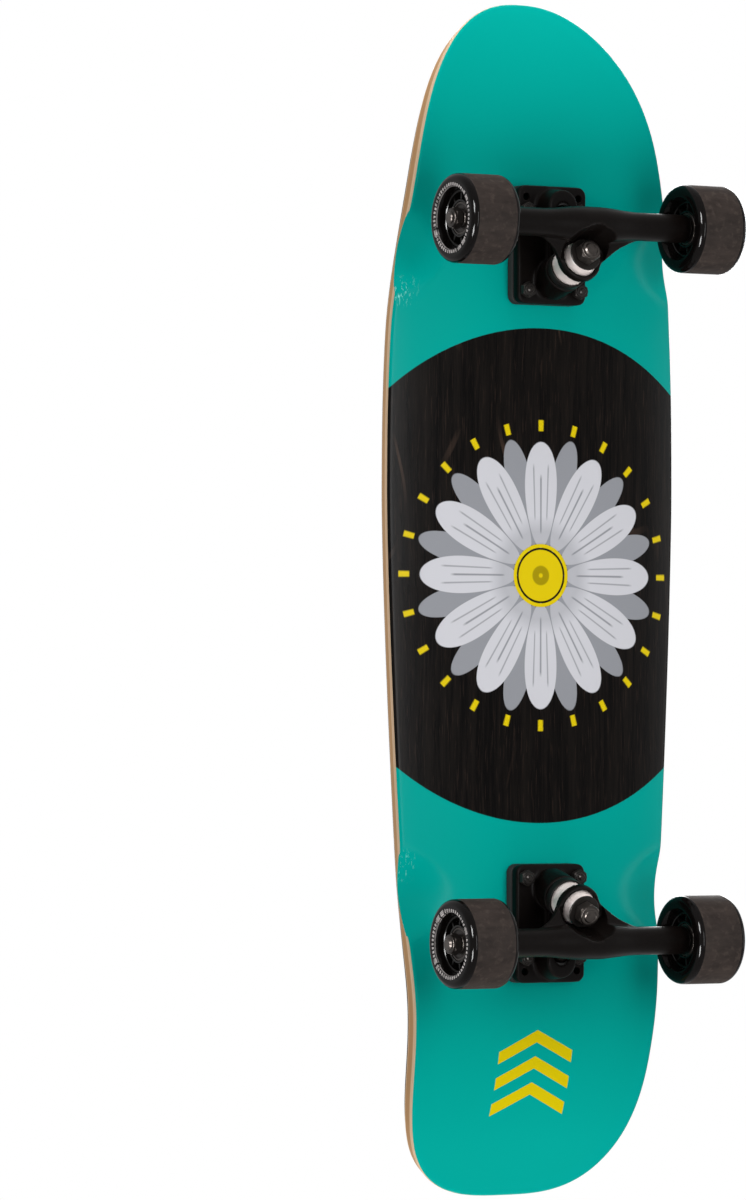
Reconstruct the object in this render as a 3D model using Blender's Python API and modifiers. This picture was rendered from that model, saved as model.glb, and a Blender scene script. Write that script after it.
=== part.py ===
"""A longboard: kicktail deck, two traditional trucks, risers and four soft wheels.

+X is the nose, +Z is up, and the board stands on its wheels on the plane z = 0.
Run with: blender --background --python part.py
"""

import math

import bmesh
import bpy
import numpy as np
from mathutils import Vector

MM = 0.001
GAP = 0.3 * MM  # between pieces that touch on the real board

# Deck
DECK_HALF_WIDTH = 111.7 * MM  # of the top face, at its widest
DECK_THICKNESS = 12 * MM
WIDEST_X = 70 * MM
TAIL_TAPER = (400 * MM, 19.3 * MM, 1.41)  # run from the widest point, narrowing there, power
NOSE_TAPER = (260 * MM, 22.5 * MM, 2.7)
NOSE_ROUND = (282 * MM, 404.1 * MM, 3.44, 2.37)  # start, tip of the top face, two powers
TAIL_ROUND = (307 * MM, 404 * MM, 2.95, 3.03)
CONCAVE_RISE = 12 * MM  # at the rails
CONCAVE_FLAT = 10 * MM  # half width of the flat strip along the middle
CONCAVE_FULL_X, CONCAVE_END_X, CONCAVE_LEFT = 180 * MM, 290 * MM, 0.15
NOSE_BEND = (298 * MM, 222 * MM, math.radians(30))  # start, radius, steepest angle
TAIL_BEND = (258 * MM, 235 * MM, math.radians(28))
OUTLINE_STEPS = 56
DECK_RINGS = (0.0, 0.088, 0.42, 0.74, 1.0)  # the second one edges the flat strip
WELL_X = {"front": 231 * MM, "rear": -199 * MM}
WELL_RADIUS, WELL_LENGTH, WELL_TILT = 58 * MM, 70 * MM, math.radians(21)
WELL_DEPTH = 7 * MM  # at the rail

# Grip tape
GRIP_THICKNESS = 0.9 * MM
GRIP_SHARE = 0.995  # of the deck's outline

# Heights of the stack under the deck
WHEEL_RADIUS = 30 * MM
AXLE_Z = WHEEL_RADIUS
DECK_BOTTOM = 92.7 * MM
DECK_TOP = DECK_BOTTOM + DECK_THICKNESS
RISER_THICKNESS = 6.4 * MM
PLATE_THICKNESS = 7.4 * MM
RISER_TOP = DECK_BOTTOM - GAP
PLATE_TOP = RISER_TOP - RISER_THICKNESS - GAP
PLATE_BOTTOM = PLATE_TOP - PLATE_THICKNESS

# Trucks: in a truck's own frame +X points outboard and the axle is at x = 0
FRONT_AXLE_X, REAR_AXLE_X = 251.7 * MM, -231.1 * MM
PATTERN_X = -15 * MM  # middle of the bolt pattern
BOLT_HALF_LENGTH, BOLT_HALF_WIDTH = 27 * MM, 20.65 * MM
OLD_BOLT_X = 36.5 * MM  # third pair of holes, outboard
PLATE_INBOARD, PLATE_OUTBOARD = 36.2 * MM, 44.4 * MM
PLATE_WIDTH, PLATE_CORNER = 54 * MM, 6 * MM
KINGPIN_TILT = math.radians(20)
KINGPIN_FOOT = (-18 * MM, 30 * MM)  # x and z where the kingpin's own axis starts
PIVOT = (14.5 * MM, 72 * MM)

# Along the kingpin, from its nut up to its head
KINGPIN_RADIUS = 4.75 * MM
KINGPIN_TIP, KINGPIN_HEAD, KINGPIN_END = -3.5 * MM, 49 * MM, 55 * MM
KINGPIN_NUT = (-2 * MM, 5.2 * MM)
ROAD_WASHER = (5.5 * MM, 6.8 * MM)
ROAD_BUSHING = (7.1 * MM, 15.5 * MM)
RING = (11.8 * MM, 18.2 * MM)
RING_WEB = (15.8 * MM, 17.6 * MM)
BOARD_BUSHING = (17.9 * MM, 33 * MM)
BOARD_WASHER = (28.5 * MM, 34.7 * MM)
CUP_FLOOR = 33.3 * MM
BUSHING_RADIUS = 12.5 * MM
BUSHING_EDGE = (0.6 * MM, 1 * MM)  # chamfer, across and along
WASHER_RADIUS, CUP_WALL = 10.9 * MM, 1.1 * MM
NUT_ROUND = 2 / math.sqrt(3)  # a hexagon's corners over its flats
KINGPIN_NUT_CORNER, AXLE_NUT_CORNER = 7.15 * NUT_ROUND * MM, 6.35 * NUT_ROUND * MM
AXLE_NUT_HEIGHT = 6.5 * MM

# Baseplate: the boss round the kingpin's head, the tower over the pivot and the rib between them
BOSS = (35 * MM, 54 * MM, 13.9 * MM, 13 * MM)  # start, end and the two radii
TOWER = (63.5 * MM, 11 * MM, 13.8 * MM)  # low end, its radius, radius at the plate
RIB_START, RIB_HALF, RIB_LOW = -26 * MM, 4 * MM, 75 * MM
HEAD_POCKET_RADIUS = 8.9 * MM
CUP_RADIUS, CUP_LOW, CUP_TOP = 7.7 * MM, -4 * MM, 6.9 * MM  # about the pivot, along the steering axis
CUP_BORE = 5.85 * MM

# Hanger: ring, web, bowl and pivot nose
RING_RADIUS, WEB_HOLE = 15.5 * MM, 6.8 * MM
WASHER_ROOM = (15.6 * MM, 27 * MM)  # radius, and where along the kingpin it starts
YOKE_HALF_WIDTH, YOKE_ROOT_HALF, YOKE_HALF_DEPTH = 19.5 * MM, 50 * MM, 4.5 * MM
BOWL_RADIUS, BOWL_STRETCH = 12 * MM, 1.42
NECK_BACK, NECK_RADIUS = 14 * MM, 8.2 * MM
PIVOT_BALL, PIVOT_NECK = 5.5 * MM, 4.3 * MM
BODY_BALLS = ((-2 * MM, 40 * MM, 9 * MM), (-13 * MM, 52 * MM, 7 * MM))  # x, z and radius
FAR = 200 * MM  # past everything, for cutters

# Hanger, axle and wheels
HANGER_HALF = 76 * MM
HANGER_END_RADIUS, HANGER_MIDDLE_RADIUS = 9.6 * MM, 12 * MM
AXLE_RADIUS, AXLE_HALF = 3.97 * MM, 110.2 * MM
BORE_RADIUS = AXLE_RADIUS + GAP
BEARING_RADIUS, BEARING_WIDTH, BEARING_SPACING = 11 * MM, 7 * MM, 10.2 * MM
SPEED_WASHER = 1 * MM
WHEEL_Y = HANGER_HALF + SPEED_WASHER + BEARING_WIDTH + BEARING_SPACING / 2
WHEEL_HALF_WIDTH, WHEEL_LIP = 19 * MM, 4.5 * MM
CORE_RADIUS, CORE_HALF = 19.1 * MM, 13 * MM
AXLE_NUT_START = WHEEL_Y + BEARING_SPACING / 2 + BEARING_WIDTH + SPEED_WASHER + GAP

# Mounting bolts
BOLT_RADIUS, BOLT_HEAD_RADIUS = 2.4 * MM, 4.75 * MM
MOUNT_NUT = (5.5 * MM, 5.8 * MM)  # corner radius and height


def clear_scene():
    for old in list(bpy.data.objects):
        bpy.data.objects.remove(old, do_unlink=True)


def make_collection(name):
    made = bpy.data.collections.new(name)
    bpy.context.scene.collection.children.link(made)
    return made


def make_material(name, colour, roughness, metallic=0.0):
    made = bpy.data.materials.new(name)
    made.use_nodes = True
    shader = made.node_tree.nodes["Principled BSDF"]
    shader.inputs["Base Color"].default_value = (*colour, 1)
    shader.inputs["Roughness"].default_value = roughness
    shader.inputs["Metallic"].default_value = metallic
    return made


clear_scene()
PARTS = make_collection("longboard")
CUTTERS = make_collection("cutters")


def add_object(name, mesh, material=None, parent=None, at=(0, 0, 0), turn=(0, 0, 0)):
    """A piece of the board, or a helper that cuts or joins one when it has no material."""
    made = bpy.data.objects.new(name, mesh)
    made.location, made.rotation_euler, made.parent = at, turn, parent
    if material:
        PARTS.objects.link(made)
        if not mesh.materials:
            mesh.materials.append(material)
    else:
        CUTTERS.objects.link(made)
        made.hide_render = True
        made.display_type = "WIRE"
    return made


def add_empty(name, at, turn=(0, 0, 0), parent=None):
    made = bpy.data.objects.new(name, None)
    made.location, made.rotation_euler, made.parent = at, turn, parent
    PARTS.objects.link(made)
    return made


def mesh_from(name, build):
    """A mesh that build(bm) fills, shaded smooth with its sharp edges marked."""
    bm = bmesh.new()
    build(bm)
    bmesh.ops.recalc_face_normals(bm, faces=bm.faces)
    made = bpy.data.meshes.new(name)
    bm.to_mesh(made)
    bm.free()
    made.shade_smooth()
    made.set_sharp_from_angle(angle=math.radians(35))
    return made


def cylinder_mesh(name, radius, low, high, sides, radius_high=None):
    """A cylinder or cone along Z from low to high."""

    def build(bm):
        bmesh.ops.create_cone(
            bm,
            cap_ends=True,
            segments=sides,
            radius1=radius,
            radius2=radius if radius_high is None else radius_high,
            depth=high - low,
        )
        bmesh.ops.translate(bm, verts=bm.verts, vec=(0, 0, (low + high) / 2))

    return mesh_from(name, build)


def block_mesh(name, low, high, corner=0.0):
    """A box between two corners, its upright edges rounded by corner."""

    def build(bm):
        size = Vector(high) - Vector(low)
        bmesh.ops.create_cube(bm, size=1)
        bmesh.ops.scale(bm, verts=bm.verts, vec=size)
        bmesh.ops.translate(bm, verts=bm.verts, vec=(Vector(low) + Vector(high)) / 2)
        if corner:
            upright = [e for e in bm.edges if abs(e.verts[0].co.z - e.verts[1].co.z) > size.z / 2]
            bmesh.ops.bevel(bm, geom=upright, offset=corner, segments=4, affect="EDGES", profile=0.5)

    return mesh_from(name, build)


def hull_mesh(name, balls):
    """The smooth skin stretched over balls, each given as its centre and radius."""

    def build(bm):
        for centre, radius in balls:
            ball = bmesh.ops.create_uvsphere(bm, u_segments=12, v_segments=6, radius=radius)
            bmesh.ops.translate(bm, verts=ball["verts"], vec=centre)
        for face in list(bm.faces):
            bm.faces.remove(face)
        hull = bmesh.ops.convex_hull(bm, input=bm.verts)
        spare = {g for g in hull["geom_interior"] + hull["geom_unused"] if isinstance(g, bmesh.types.BMVert)}
        bmesh.ops.delete(bm, geom=list(spare), context="VERTS")

    return mesh_from(name, build)


def turned(name, profile, sides, closed, **place):
    """An object turned about Z from (radius, height) points that run down its outer side."""
    mesh = bpy.data.meshes.new(name)
    count = len(profile)
    edges = [(i, (i + 1) % count) for i in range(count if closed else count - 1)]
    mesh.from_pydata([(radius, 0, height) for radius, height in profile], edges, [])
    made = add_object(name, mesh, **place)
    screw = made.modifiers.new("turn", "SCREW")
    screw.steps = screw.render_steps = sides
    screw.use_merge_vertices = True
    screw.merge_threshold = 0.00001
    screw.use_smooth_shade = True
    return made


def sleeve(name, outer, inner, low, high, sides, **place):
    """A turned ring of rectangular section."""
    profile = [(outer, high), (outer, low), (inner, low), (inner, high)]
    return turned(name, profile, sides, True, **place)


def boolean(target, operation, *others):
    for other in others:
        modifier = target.modifiers.new(other.name, "BOOLEAN")
        modifier.operation = operation
        modifier.solver = "EXACT"
        modifier.object = other


def hex_nut(name, corner, height, hole, low, **place):
    """A six-sided nut along Z with a round hole."""
    nut = add_object(name, cylinder_mesh(name, corner, low, low + height, 6), **place)
    spot = {key: place[key] for key in ("parent", "at", "turn") if key in place}
    reach = 2 * MM
    drill = cylinder_mesh(name + "_hole", hole, low - reach, low + height + reach, 16)
    boolean(nut, "DIFFERENCE", add_object(name + "_hole", drill, **spot))
    return nut


def half_width(x):
    """Half the width of the deck's top face at x."""
    run, drop, power = NOSE_TAPER if x > WIDEST_X else TAIL_TAPER
    side = DECK_HALF_WIDTH - drop * (abs(x - WIDEST_X) / run) ** power
    for reach, (start, tip, inner, outer) in ((x, NOSE_ROUND), (-x, TAIL_ROUND)):
        share = min(max((reach - start) / (tip - start), 0), 1)
        side *= (1 - share**inner) ** (1 / outer)
    return side


def bend_rise(run, radius, steepest):
    """Height of a bend that starts level, follows an arc and goes on straight at its steepest."""
    arc = radius * math.sin(steepest)
    if run <= 0:
        return 0.0
    if run < arc:
        return radius - math.sqrt(radius * radius - run * run)
    return radius * (1 - math.cos(steepest)) + (run - arc) * math.tan(steepest)


def smooth_step(value):
    value = min(max(value, 0), 1)
    return value * value * (3 - 2 * value)


def deck_height(x, y):
    """Height of the deck's top face: kicked nose and tail, and a concave that fades at both ends."""
    fade = smooth_step((abs(x) - CONCAVE_FULL_X) / (CONCAVE_END_X - CONCAVE_FULL_X))
    concave = 1 - (1 - CONCAVE_LEFT) * fade
    side = max(abs(y) - CONCAVE_FLAT, 0) / (DECK_HALF_WIDTH - CONCAVE_FLAT)
    nose_start, nose_radius, nose_angle = NOSE_BEND
    tail_start, tail_radius, tail_angle = TAIL_BEND
    kick = bend_rise(x - nose_start, nose_radius, nose_angle)
    kick += bend_rise(-x - tail_start, tail_radius, tail_angle)
    return DECK_TOP + CONCAVE_RISE * concave * side * side + kick


def outline(share):
    """Points down one side of the top face, from the nose tip to the tail tip, evenly spaced."""
    middle, reach = (NOSE_ROUND[1] - TAIL_ROUND[1]) / 2, (NOSE_ROUND[1] + TAIL_ROUND[1]) / 2
    fine_x = middle + reach * np.cos(np.linspace(0, math.pi, 1200))
    fine_y = np.array([half_width(x) for x in fine_x])
    walked = np.concatenate([[0], np.cumsum(np.hypot(np.diff(fine_x), np.diff(fine_y)))])
    stops = np.linspace(0, walked[-1], OUTLINE_STEPS + 1)
    xs, ys = np.interp(stops, walked, fine_x), np.interp(stops, walked, fine_y)
    ys[0] = ys[-1] = 0
    return [(middle + (x - middle) * share, y * share) for x, y in zip(xs, ys)]


def deck_sheet(name, share, lift):
    """Half of the deck's top face, open along y = 0, as rings that close in on a spine."""
    rim = outline(share)
    spine_nose = rim[0][0] - DECK_HALF_WIDTH * 0.85
    spine_tail = rim[-1][0] + DECK_HALF_WIDTH * 0.65

    def build(bm):
        rows = []
        for x, y in rim:
            spine = min(max(x, spine_tail), spine_nose)
            row = []
            for ring in DECK_RINGS:
                px, py = spine + (x - spine) * ring, y * ring
                row.append(bm.verts.new((px, py, deck_height(px, py) + lift)))
            rows.append(row)
        for ahead, behind in zip(rows, rows[1:]):
            for j in range(len(DECK_RINGS) - 1):
                bm.faces.new((ahead[j], ahead[j + 1], behind[j + 1], behind[j]))
        bmesh.ops.remove_doubles(bm, verts=bm.verts, dist=0.01 * MM)

    mesh = mesh_from(name, build)
    if mesh.polygons[0].normal.z < 0:
        mesh.flip_normals()
    return mesh


def sheet_solid(name, share, lift, thickness, grow, material):
    """The whole deck face, thickened: grow is 1 for upwards and -1 for downwards."""
    made = add_object(name, deck_sheet(name, share, lift), material)
    mirror = made.modifiers.new("other side", "MIRROR")
    mirror.use_axis = (False, True, False)
    mirror.merge_threshold = 0.00001
    solid = made.modifiers.new("thickness", "SOLIDIFY")
    solid.thickness, solid.offset = thickness, grow
    solid.use_even_offset = True
    return made


def bolt_places():
    """The middle of each of the eight bolts, front four first."""
    for axle_x, heading in ((FRONT_AXLE_X, 1), (REAR_AXLE_X, -1)):
        for along in (1, -1):
            for side in (1, -1):
                x = axle_x + heading * (PATTERN_X + along * BOLT_HALF_LENGTH)
                yield x, side * BOLT_HALF_WIDTH


def make_deck(wood, grit):
    deck = sheet_solid("deck", 1.0, 0, DECK_THICKNESS, -1, wood)
    grip = sheet_solid("grip_tape", GRIP_SHARE, GAP, GRIP_THICKNESS, 1, grit)
    head_top = DECK_TOP + GRIP_THICKNESS
    wide, narrow, clear = BOLT_HEAD_RADIUS + GAP, BOLT_RADIUS + GAP, 10 * MM
    profile = [
        (0, head_top + clear),
        (wide, head_top + clear),
        (wide, head_top),
        (narrow, head_top - (wide - narrow)),
        (narrow, DECK_BOTTOM - clear),
        (0, DECK_BOTTOM - clear),
    ]
    for number, (x, y) in enumerate(bolt_places(), 1):
        drill = turned(f"deck_drill_{number}", profile, 16, False, at=(x, y, 0))
        boolean(deck, "DIFFERENCE", drill)
        boolean(grip, "DIFFERENCE", drill)
    for end, x in WELL_X.items():
        for side, hand in ((1, "left"), (-1, "right")):
            rail = half_width(x)
            floor = deck_height(x, rail) - DECK_THICKNESS + WELL_DEPTH
            name = f"wheel_well_{end}_{hand}"
            mesh = cylinder_mesh(name, WELL_RADIUS, -WELL_LENGTH, WELL_LENGTH, 48)
            drop = WELL_RADIUS / math.cos(WELL_TILT)
            well = add_object(name, mesh, at=(x, side * rail, floor - drop))
            well.rotation_euler = (side * (math.radians(90) + WELL_TILT), 0, 0)
            boolean(deck, "DIFFERENCE", well)


def make_bolts(black):
    """Countersunk bolts with a hexagon socket, and the nuts under the baseplates."""
    head_top = DECK_TOP + GRIP_THICKNESS
    nut_corner, nut_height = MOUNT_NUT
    nut_low = PLATE_BOTTOM - GAP - nut_height
    profile = [
        (0, head_top),
        (BOLT_HEAD_RADIUS, head_top),
        (BOLT_RADIUS, head_top - (BOLT_HEAD_RADIUS - BOLT_RADIUS)),
        (BOLT_RADIUS, nut_low - 1.5 * MM),
        (0, nut_low - 1.5 * MM),
    ]
    socket = cylinder_mesh("bolt_socket", 1.8 * MM, head_top - 2 * MM, head_top + 2 * MM, 6)
    for index, (x, y) in enumerate(bolt_places()):
        name = f"{'front' if index < 4 else 'rear'}_mounting_bolt_{index % 4 + 1}"
        bolt = turned(name, profile, 12, False, material=black, at=(x, y, 0))
        boolean(bolt, "DIFFERENCE", add_object(name + "_socket", socket, at=(x, y, 0)))
        hex_nut(
            name.replace("bolt", "nut"),
            nut_corner,
            nut_height,
            BOLT_RADIUS + GAP,
            nut_low,
            material=black,
            at=(x, y, 0),
        )


def pattern_drills(name, truck):
    """Cutters for the six mounting holes of a riser or a baseplate."""
    mesh = cylinder_mesh(name, BOLT_RADIUS + GAP, PLATE_BOTTOM - 5 * MM, DECK_BOTTOM + 5 * MM, 12)
    spots = [PATTERN_X + x for x in (-BOLT_HALF_LENGTH, BOLT_HALF_LENGTH, OLD_BOLT_X)]
    places = [(x, side * BOLT_HALF_WIDTH, 0) for x in spots for side in (1, -1)]
    return [add_object(f"{name}_{i}", mesh, parent=truck, at=at) for i, at in enumerate(places, 1)]


def plate_block(name, low, high):
    start = PATTERN_X - PLATE_INBOARD
    end = PATTERN_X + PLATE_OUTBOARD
    half = PLATE_WIDTH / 2
    return block_mesh(name, (start, -half, low), (end, half, high), PLATE_CORNER)


def make_baseplate(end, truck, kingpin_place, pivot_place, paint):
    name = f"{end}_baseplate"
    plate = add_object(name, plate_block(name, PLATE_BOTTOM, PLATE_TOP), paint, truck)
    boss_low, boss_high, boss_radius, boss_top_radius = BOSS
    boss = cylinder_mesh(f"{end}_boss", boss_radius, boss_low, boss_high, 24, boss_top_radius)
    tower_low, tower_radius, tower_root = TOWER
    tower = cylinder_mesh(f"{end}_tower", tower_radius, tower_low, PLATE_TOP - 1 * MM, 24, tower_root)
    rib_low, rib_high = (RIB_START, -RIB_HALF, RIB_LOW), (PIVOT[0], RIB_HALF, PLATE_TOP - 2 * MM)
    boolean(
        plate,
        "UNION",
        add_object(f"{end}_boss", boss, **kingpin_place),
        add_object(f"{end}_tower", tower, parent=truck, at=(PIVOT[0], 0, 0)),
        add_object(f"{end}_rib", block_mesh(f"{end}_rib", rib_low, rib_high), parent=truck),
    )
    above = block_mesh(f"{end}_above", (-FAR, -FAR, PLATE_TOP), (FAR, FAR, FAR))
    hole = cylinder_mesh(f"{end}_kingpin_hole", KINGPIN_RADIUS + GAP, 0, FAR, 16)
    pocket = cylinder_mesh(f"{end}_head_pocket", HEAD_POCKET_RADIUS, KINGPIN_HEAD - GAP, FAR, 20)
    socket = cylinder_mesh(f"{end}_cup_socket", CUP_RADIUS + GAP, -30 * MM, CUP_TOP + 0.1 * MM, 20)
    boolean(
        plate,
        "DIFFERENCE",
        add_object(f"{end}_above", above, parent=truck),
        add_object(f"{end}_kingpin_hole", hole, **kingpin_place),
        add_object(f"{end}_head_pocket", pocket, **kingpin_place),
        add_object(f"{end}_cup_socket", socket, **pivot_place),
        *pattern_drills(f"{end}_plate_drill", truck),
    )


def make_kingpin_stack(end, place, steel, black, urethane):
    """The kingpin with everything threaded on it, each piece turned about the kingpin's axis."""
    shaft_name = f"{end}_kingpin"
    shaft = cylinder_mesh(shaft_name, KINGPIN_RADIUS, KINGPIN_TIP, KINGPIN_HEAD + 1 * MM, 16)
    head = cylinder_mesh(f"{end}_kingpin_head", KINGPIN_NUT_CORNER, KINGPIN_HEAD, KINGPIN_END, 6)
    kingpin = add_object(shaft_name, shaft, steel, **place)
    boolean(kingpin, "UNION", add_object(f"{end}_kingpin_head", head, **place))
    hole = KINGPIN_RADIUS + GAP
    low, high = KINGPIN_NUT
    nut_name = f"{end}_kingpin_nut"
    hex_nut(nut_name, KINGPIN_NUT_CORNER, high - low, hole, low, material=steel, **place)
    sleeve(f"{end}_roadside_washer", WASHER_RADIUS, hole, *ROAD_WASHER, 20, material=black, **place)
    across, along = BUSHING_EDGE
    for name, (low, high) in (
        (f"{end}_roadside_bushing", ROAD_BUSHING),
        (f"{end}_boardside_bushing", BOARD_BUSHING),
    ):
        profile = [
            (BUSHING_RADIUS - across, high),
            (BUSHING_RADIUS, high - along),
            (BUSHING_RADIUS, low + along),
            (BUSHING_RADIUS - across, low),
            (hole, low),
            (hole, high),
        ]
        turned(name, profile, 20, True, material=urethane, **place)
    low, high = BOARD_WASHER
    inside = BUSHING_RADIUS + GAP
    outside = inside + CUP_WALL
    profile = [
        (outside - 1 * MM, high),
        (outside, high - 1 * MM),
        (outside, low),
        (inside, low),
        (inside, CUP_FLOOR),
        (hole, CUP_FLOOR),
        (hole, high),
    ]
    turned(f"{end}_boardside_washer", profile, 20, True, material=black, **place)


def yoke_mesh(name):
    """The flared web between the axle tube and the bushing ring, flat in XY with its ring at -X."""
    ring_x = math.hypot(ring_centre()[0], ring_centre()[1] - AXLE_Z)
    root_x = 4 * MM
    side = []
    for i in range(9):
        share = i / 8
        x = root_x + (ring_x - root_x) * share
        side.append((x, YOKE_HALF_WIDTH + (YOKE_ROOT_HALF - YOKE_HALF_WIDTH) * (1 - share) ** 2.1))
    turn = [math.radians(90 - 22.5 * i) for i in range(1, 8)]
    tip = [(ring_x + RING_RADIUS * math.cos(a), YOKE_HALF_WIDTH * math.sin(a)) for a in turn]
    points = [(-2 * MM, YOKE_ROOT_HALF), *side, *tip]
    points += [(x, -y) for x, y in reversed(side)] + [(-2 * MM, -YOKE_ROOT_HALF)]
    curve = bpy.data.curves.new(name, "CURVE")
    curve.dimensions, curve.fill_mode, curve.extrude = "2D", "BOTH", YOKE_HALF_DEPTH
    spline = curve.splines.new("POLY")
    spline.points.add(len(points) - 1)
    for point, (x, y) in zip(spline.points, points):
        point.co = (-x, y, 0, 1)
    spline.use_cyclic_u = True
    guide = add_object(name, curve)
    flat = bpy.data.meshes.new_from_object(guide.evaluated_get(bpy.context.evaluated_depsgraph_get()))
    bpy.data.objects.remove(guide)

    def build(bm):
        bm.from_mesh(flat)
        bmesh.ops.remove_doubles(bm, verts=bm.verts, dist=0.01 * MM)

    return mesh_from(name, build)


def along_kingpin(distance):
    """x and z of a point on the kingpin's axis, in the truck's frame."""
    x, z = KINGPIN_FOOT
    return x - distance * math.sin(KINGPIN_TILT), z + distance * math.cos(KINGPIN_TILT)


def ring_centre():
    return along_kingpin(sum(RING) / 2)


def steer_angle():
    """Angle of the steering axis above the horizontal: it runs from the ring up to the pivot."""
    x, z = ring_centre()
    return math.atan2(PIVOT[1] - z, PIVOT[0] - x)


def make_hanger(end, truck, kingpin_place, steering, paint):
    """The cast hanger, its origin on the steering axis at the pivot."""
    shift = Vector((-PIVOT[0], 0, -PIVOT[1]))
    name = f"{end}_hanger"
    half, middle, tip = HANGER_HALF, HANGER_MIDDLE_RADIUS, HANGER_END_RADIUS
    tube_profile = [(0, half), (tip - 1 * MM, half), (tip, half - 1 * MM), (tip, 34 * MM)]
    tube_profile += [((tip + middle) / 2, 20 * MM), (middle, 8 * MM), (middle, -8 * MM)]
    tube_profile += [((tip + middle) / 2, -20 * MM), (tip, -34 * MM), (tip, 1 * MM - half)]
    tube_profile += [(tip - 1 * MM, -half), (0, -half)]
    axle_spot = shift + Vector((0, 0, AXLE_Z))
    level = {"parent": steering, "at": axle_spot, "turn": (math.radians(90), 0, 0)}
    hanger = add_object(name, turned_mesh(name, tube_profile, 20, axle_spot), paint, steering)
    web_x, web_z = ring_centre()
    slope = math.atan2(web_z - AXLE_Z, -web_x)
    yoke_place = {"parent": steering, "at": axle_spot, "turn": (0, slope, 0)}
    ring = cylinder_mesh(f"{end}_ring", RING_RADIUS, *RING, 28)
    pivot = (PIVOT[0], 0, PIVOT[1])
    neck_x = PIVOT[0] - NECK_BACK * math.cos(steer_angle())
    neck_z = PIVOT[1] - NECK_BACK * math.sin(steer_angle())
    neck = ((neck_x, 0, neck_z), NECK_RADIUS)
    body = hull_mesh(f"{end}_body", [neck, *[((x, 0, z), radius) for x, z, radius in BODY_BALLS]])
    nose = hull_mesh(f"{end}_neck", [neck, (pivot, PIVOT_NECK)])
    boolean(
        hanger,
        "UNION",
        add_object(f"{end}_yoke", yoke_mesh(f"{end}_yoke"), **yoke_place),
        add_object(f"{end}_ring", ring, **kingpin_place),
        add_object(f"{end}_body", body, parent=truck),
        add_object(f"{end}_neck", nose, parent=truck),
        add_object(f"{end}_ball", hull_mesh(f"{end}_ball", [(pivot, PIVOT_BALL)]), parent=truck),
    )
    web_low, web_high = RING_WEB
    bowl = cylinder_mesh(f"{end}_bowl", BOWL_RADIUS, -40 * MM, RING[0] - 0.5 * MM, 28)
    bowl.transform(((1, 0, 0, 0), (0, BOWL_STRETCH, 0, 0), (0, 0, 1, 0), (0, 0, 0, 1)))
    seat, hole = BUSHING_RADIUS + GAP, WEB_HOLE
    room, room_low = WASHER_ROOM
    profile = [(0, 60 * MM), (room, 60 * MM), (room, room_low), (seat, room_low), (seat, web_high)]
    profile += [(hole, web_high), (hole, web_low), (seat, web_low), (seat, -30 * MM), (0, -30 * MM)]
    bore = cylinder_mesh(f"{end}_axle_bore", BORE_RADIUS, -2 * half, 2 * half, 16)
    boolean(
        hanger,
        "DIFFERENCE",
        turned(f"{end}_bushing_seats", profile, 24, False, **kingpin_place),
        add_object(f"{end}_bowl", bowl, **kingpin_place),
        add_object(f"{end}_axle_bore", bore, **level),
    )


def turned_mesh(name, profile, sides, centre):
    """A mesh turned about an axis along Y through centre, from (radius, y) points."""

    def build(bm):
        verts = [bm.verts.new(Vector((radius, along, 0)) + centre) for radius, along in profile]
        edges = [bm.edges.new(pair) for pair in zip(verts, verts[1:])]
        bmesh.ops.spin(
            bm,
            geom=verts + edges,
            cent=centre,
            axis=(0, 1, 0),
            angle=math.tau,
            steps=sides,
            use_merge=True,
        )
        bmesh.ops.remove_doubles(bm, verts=bm.verts, dist=0.01 * MM)

    return mesh_from(name, build)


def make_wheel(name, centre, hanger, tread, plastic, shield):
    """A urethane tyre moulded on a spoked core, with a bearing in each side."""
    place = {"parent": hanger, "at": centre, "turn": (math.radians(90), 0, 0)}
    face, lip, radius = WHEEL_HALF_WIDTH, WHEEL_LIP, WHEEL_RADIUS
    bore = CORE_RADIUS + GAP
    corner = [math.radians(30 * i) for i in range(4)]
    outer = [(radius - lip + lip * math.sin(a), face - lip + lip * math.cos(a)) for a in corner]
    upper = [(bore, face - 4 * MM), (21.5 * MM, face), *outer]
    tyre = upper + [(r, -z) for r, z in reversed(upper)]
    turned(f"{name}_tyre", tyre, 28, True, material=tread, **place)
    rim, hub, seat = 17.6 * MM, 12.9 * MM, BEARING_RADIUS + GAP
    web, shoulder = 4.5 * MM, BEARING_SPACING / 2 - GAP
    deep = CORE_HALF - 0.4 * MM
    upper = [(CORE_RADIUS, CORE_HALF), (rim, CORE_HALF), (rim, web), (hub, web)]
    upper += [(hub, deep), (seat, deep), (seat, shoulder), (8.8 * MM, shoulder)]
    core = [upper[0], (CORE_RADIUS, -CORE_HALF)]
    core += [(r, -z) for r, z in upper[1:]] + list(reversed(upper[1:]))
    turned(f"{name}_core", core, 20, True, material=plastic, **place)
    outward = math.copysign(1, centre[1])
    for label, side in (("outer", outward), ("inner", -outward)):
        middle = side * (BEARING_SPACING + BEARING_WIDTH) / 2
        at = Vector(centre) + Vector((0, middle, 0))
        half = BEARING_WIDTH / 2
        ring = {"material": shield, "parent": hanger, "at": at, "turn": place["turn"]}
        sleeve(f"{name}_{label}_bearing", BEARING_RADIUS, BORE_RADIUS, -half, half, 20, **ring)


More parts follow.
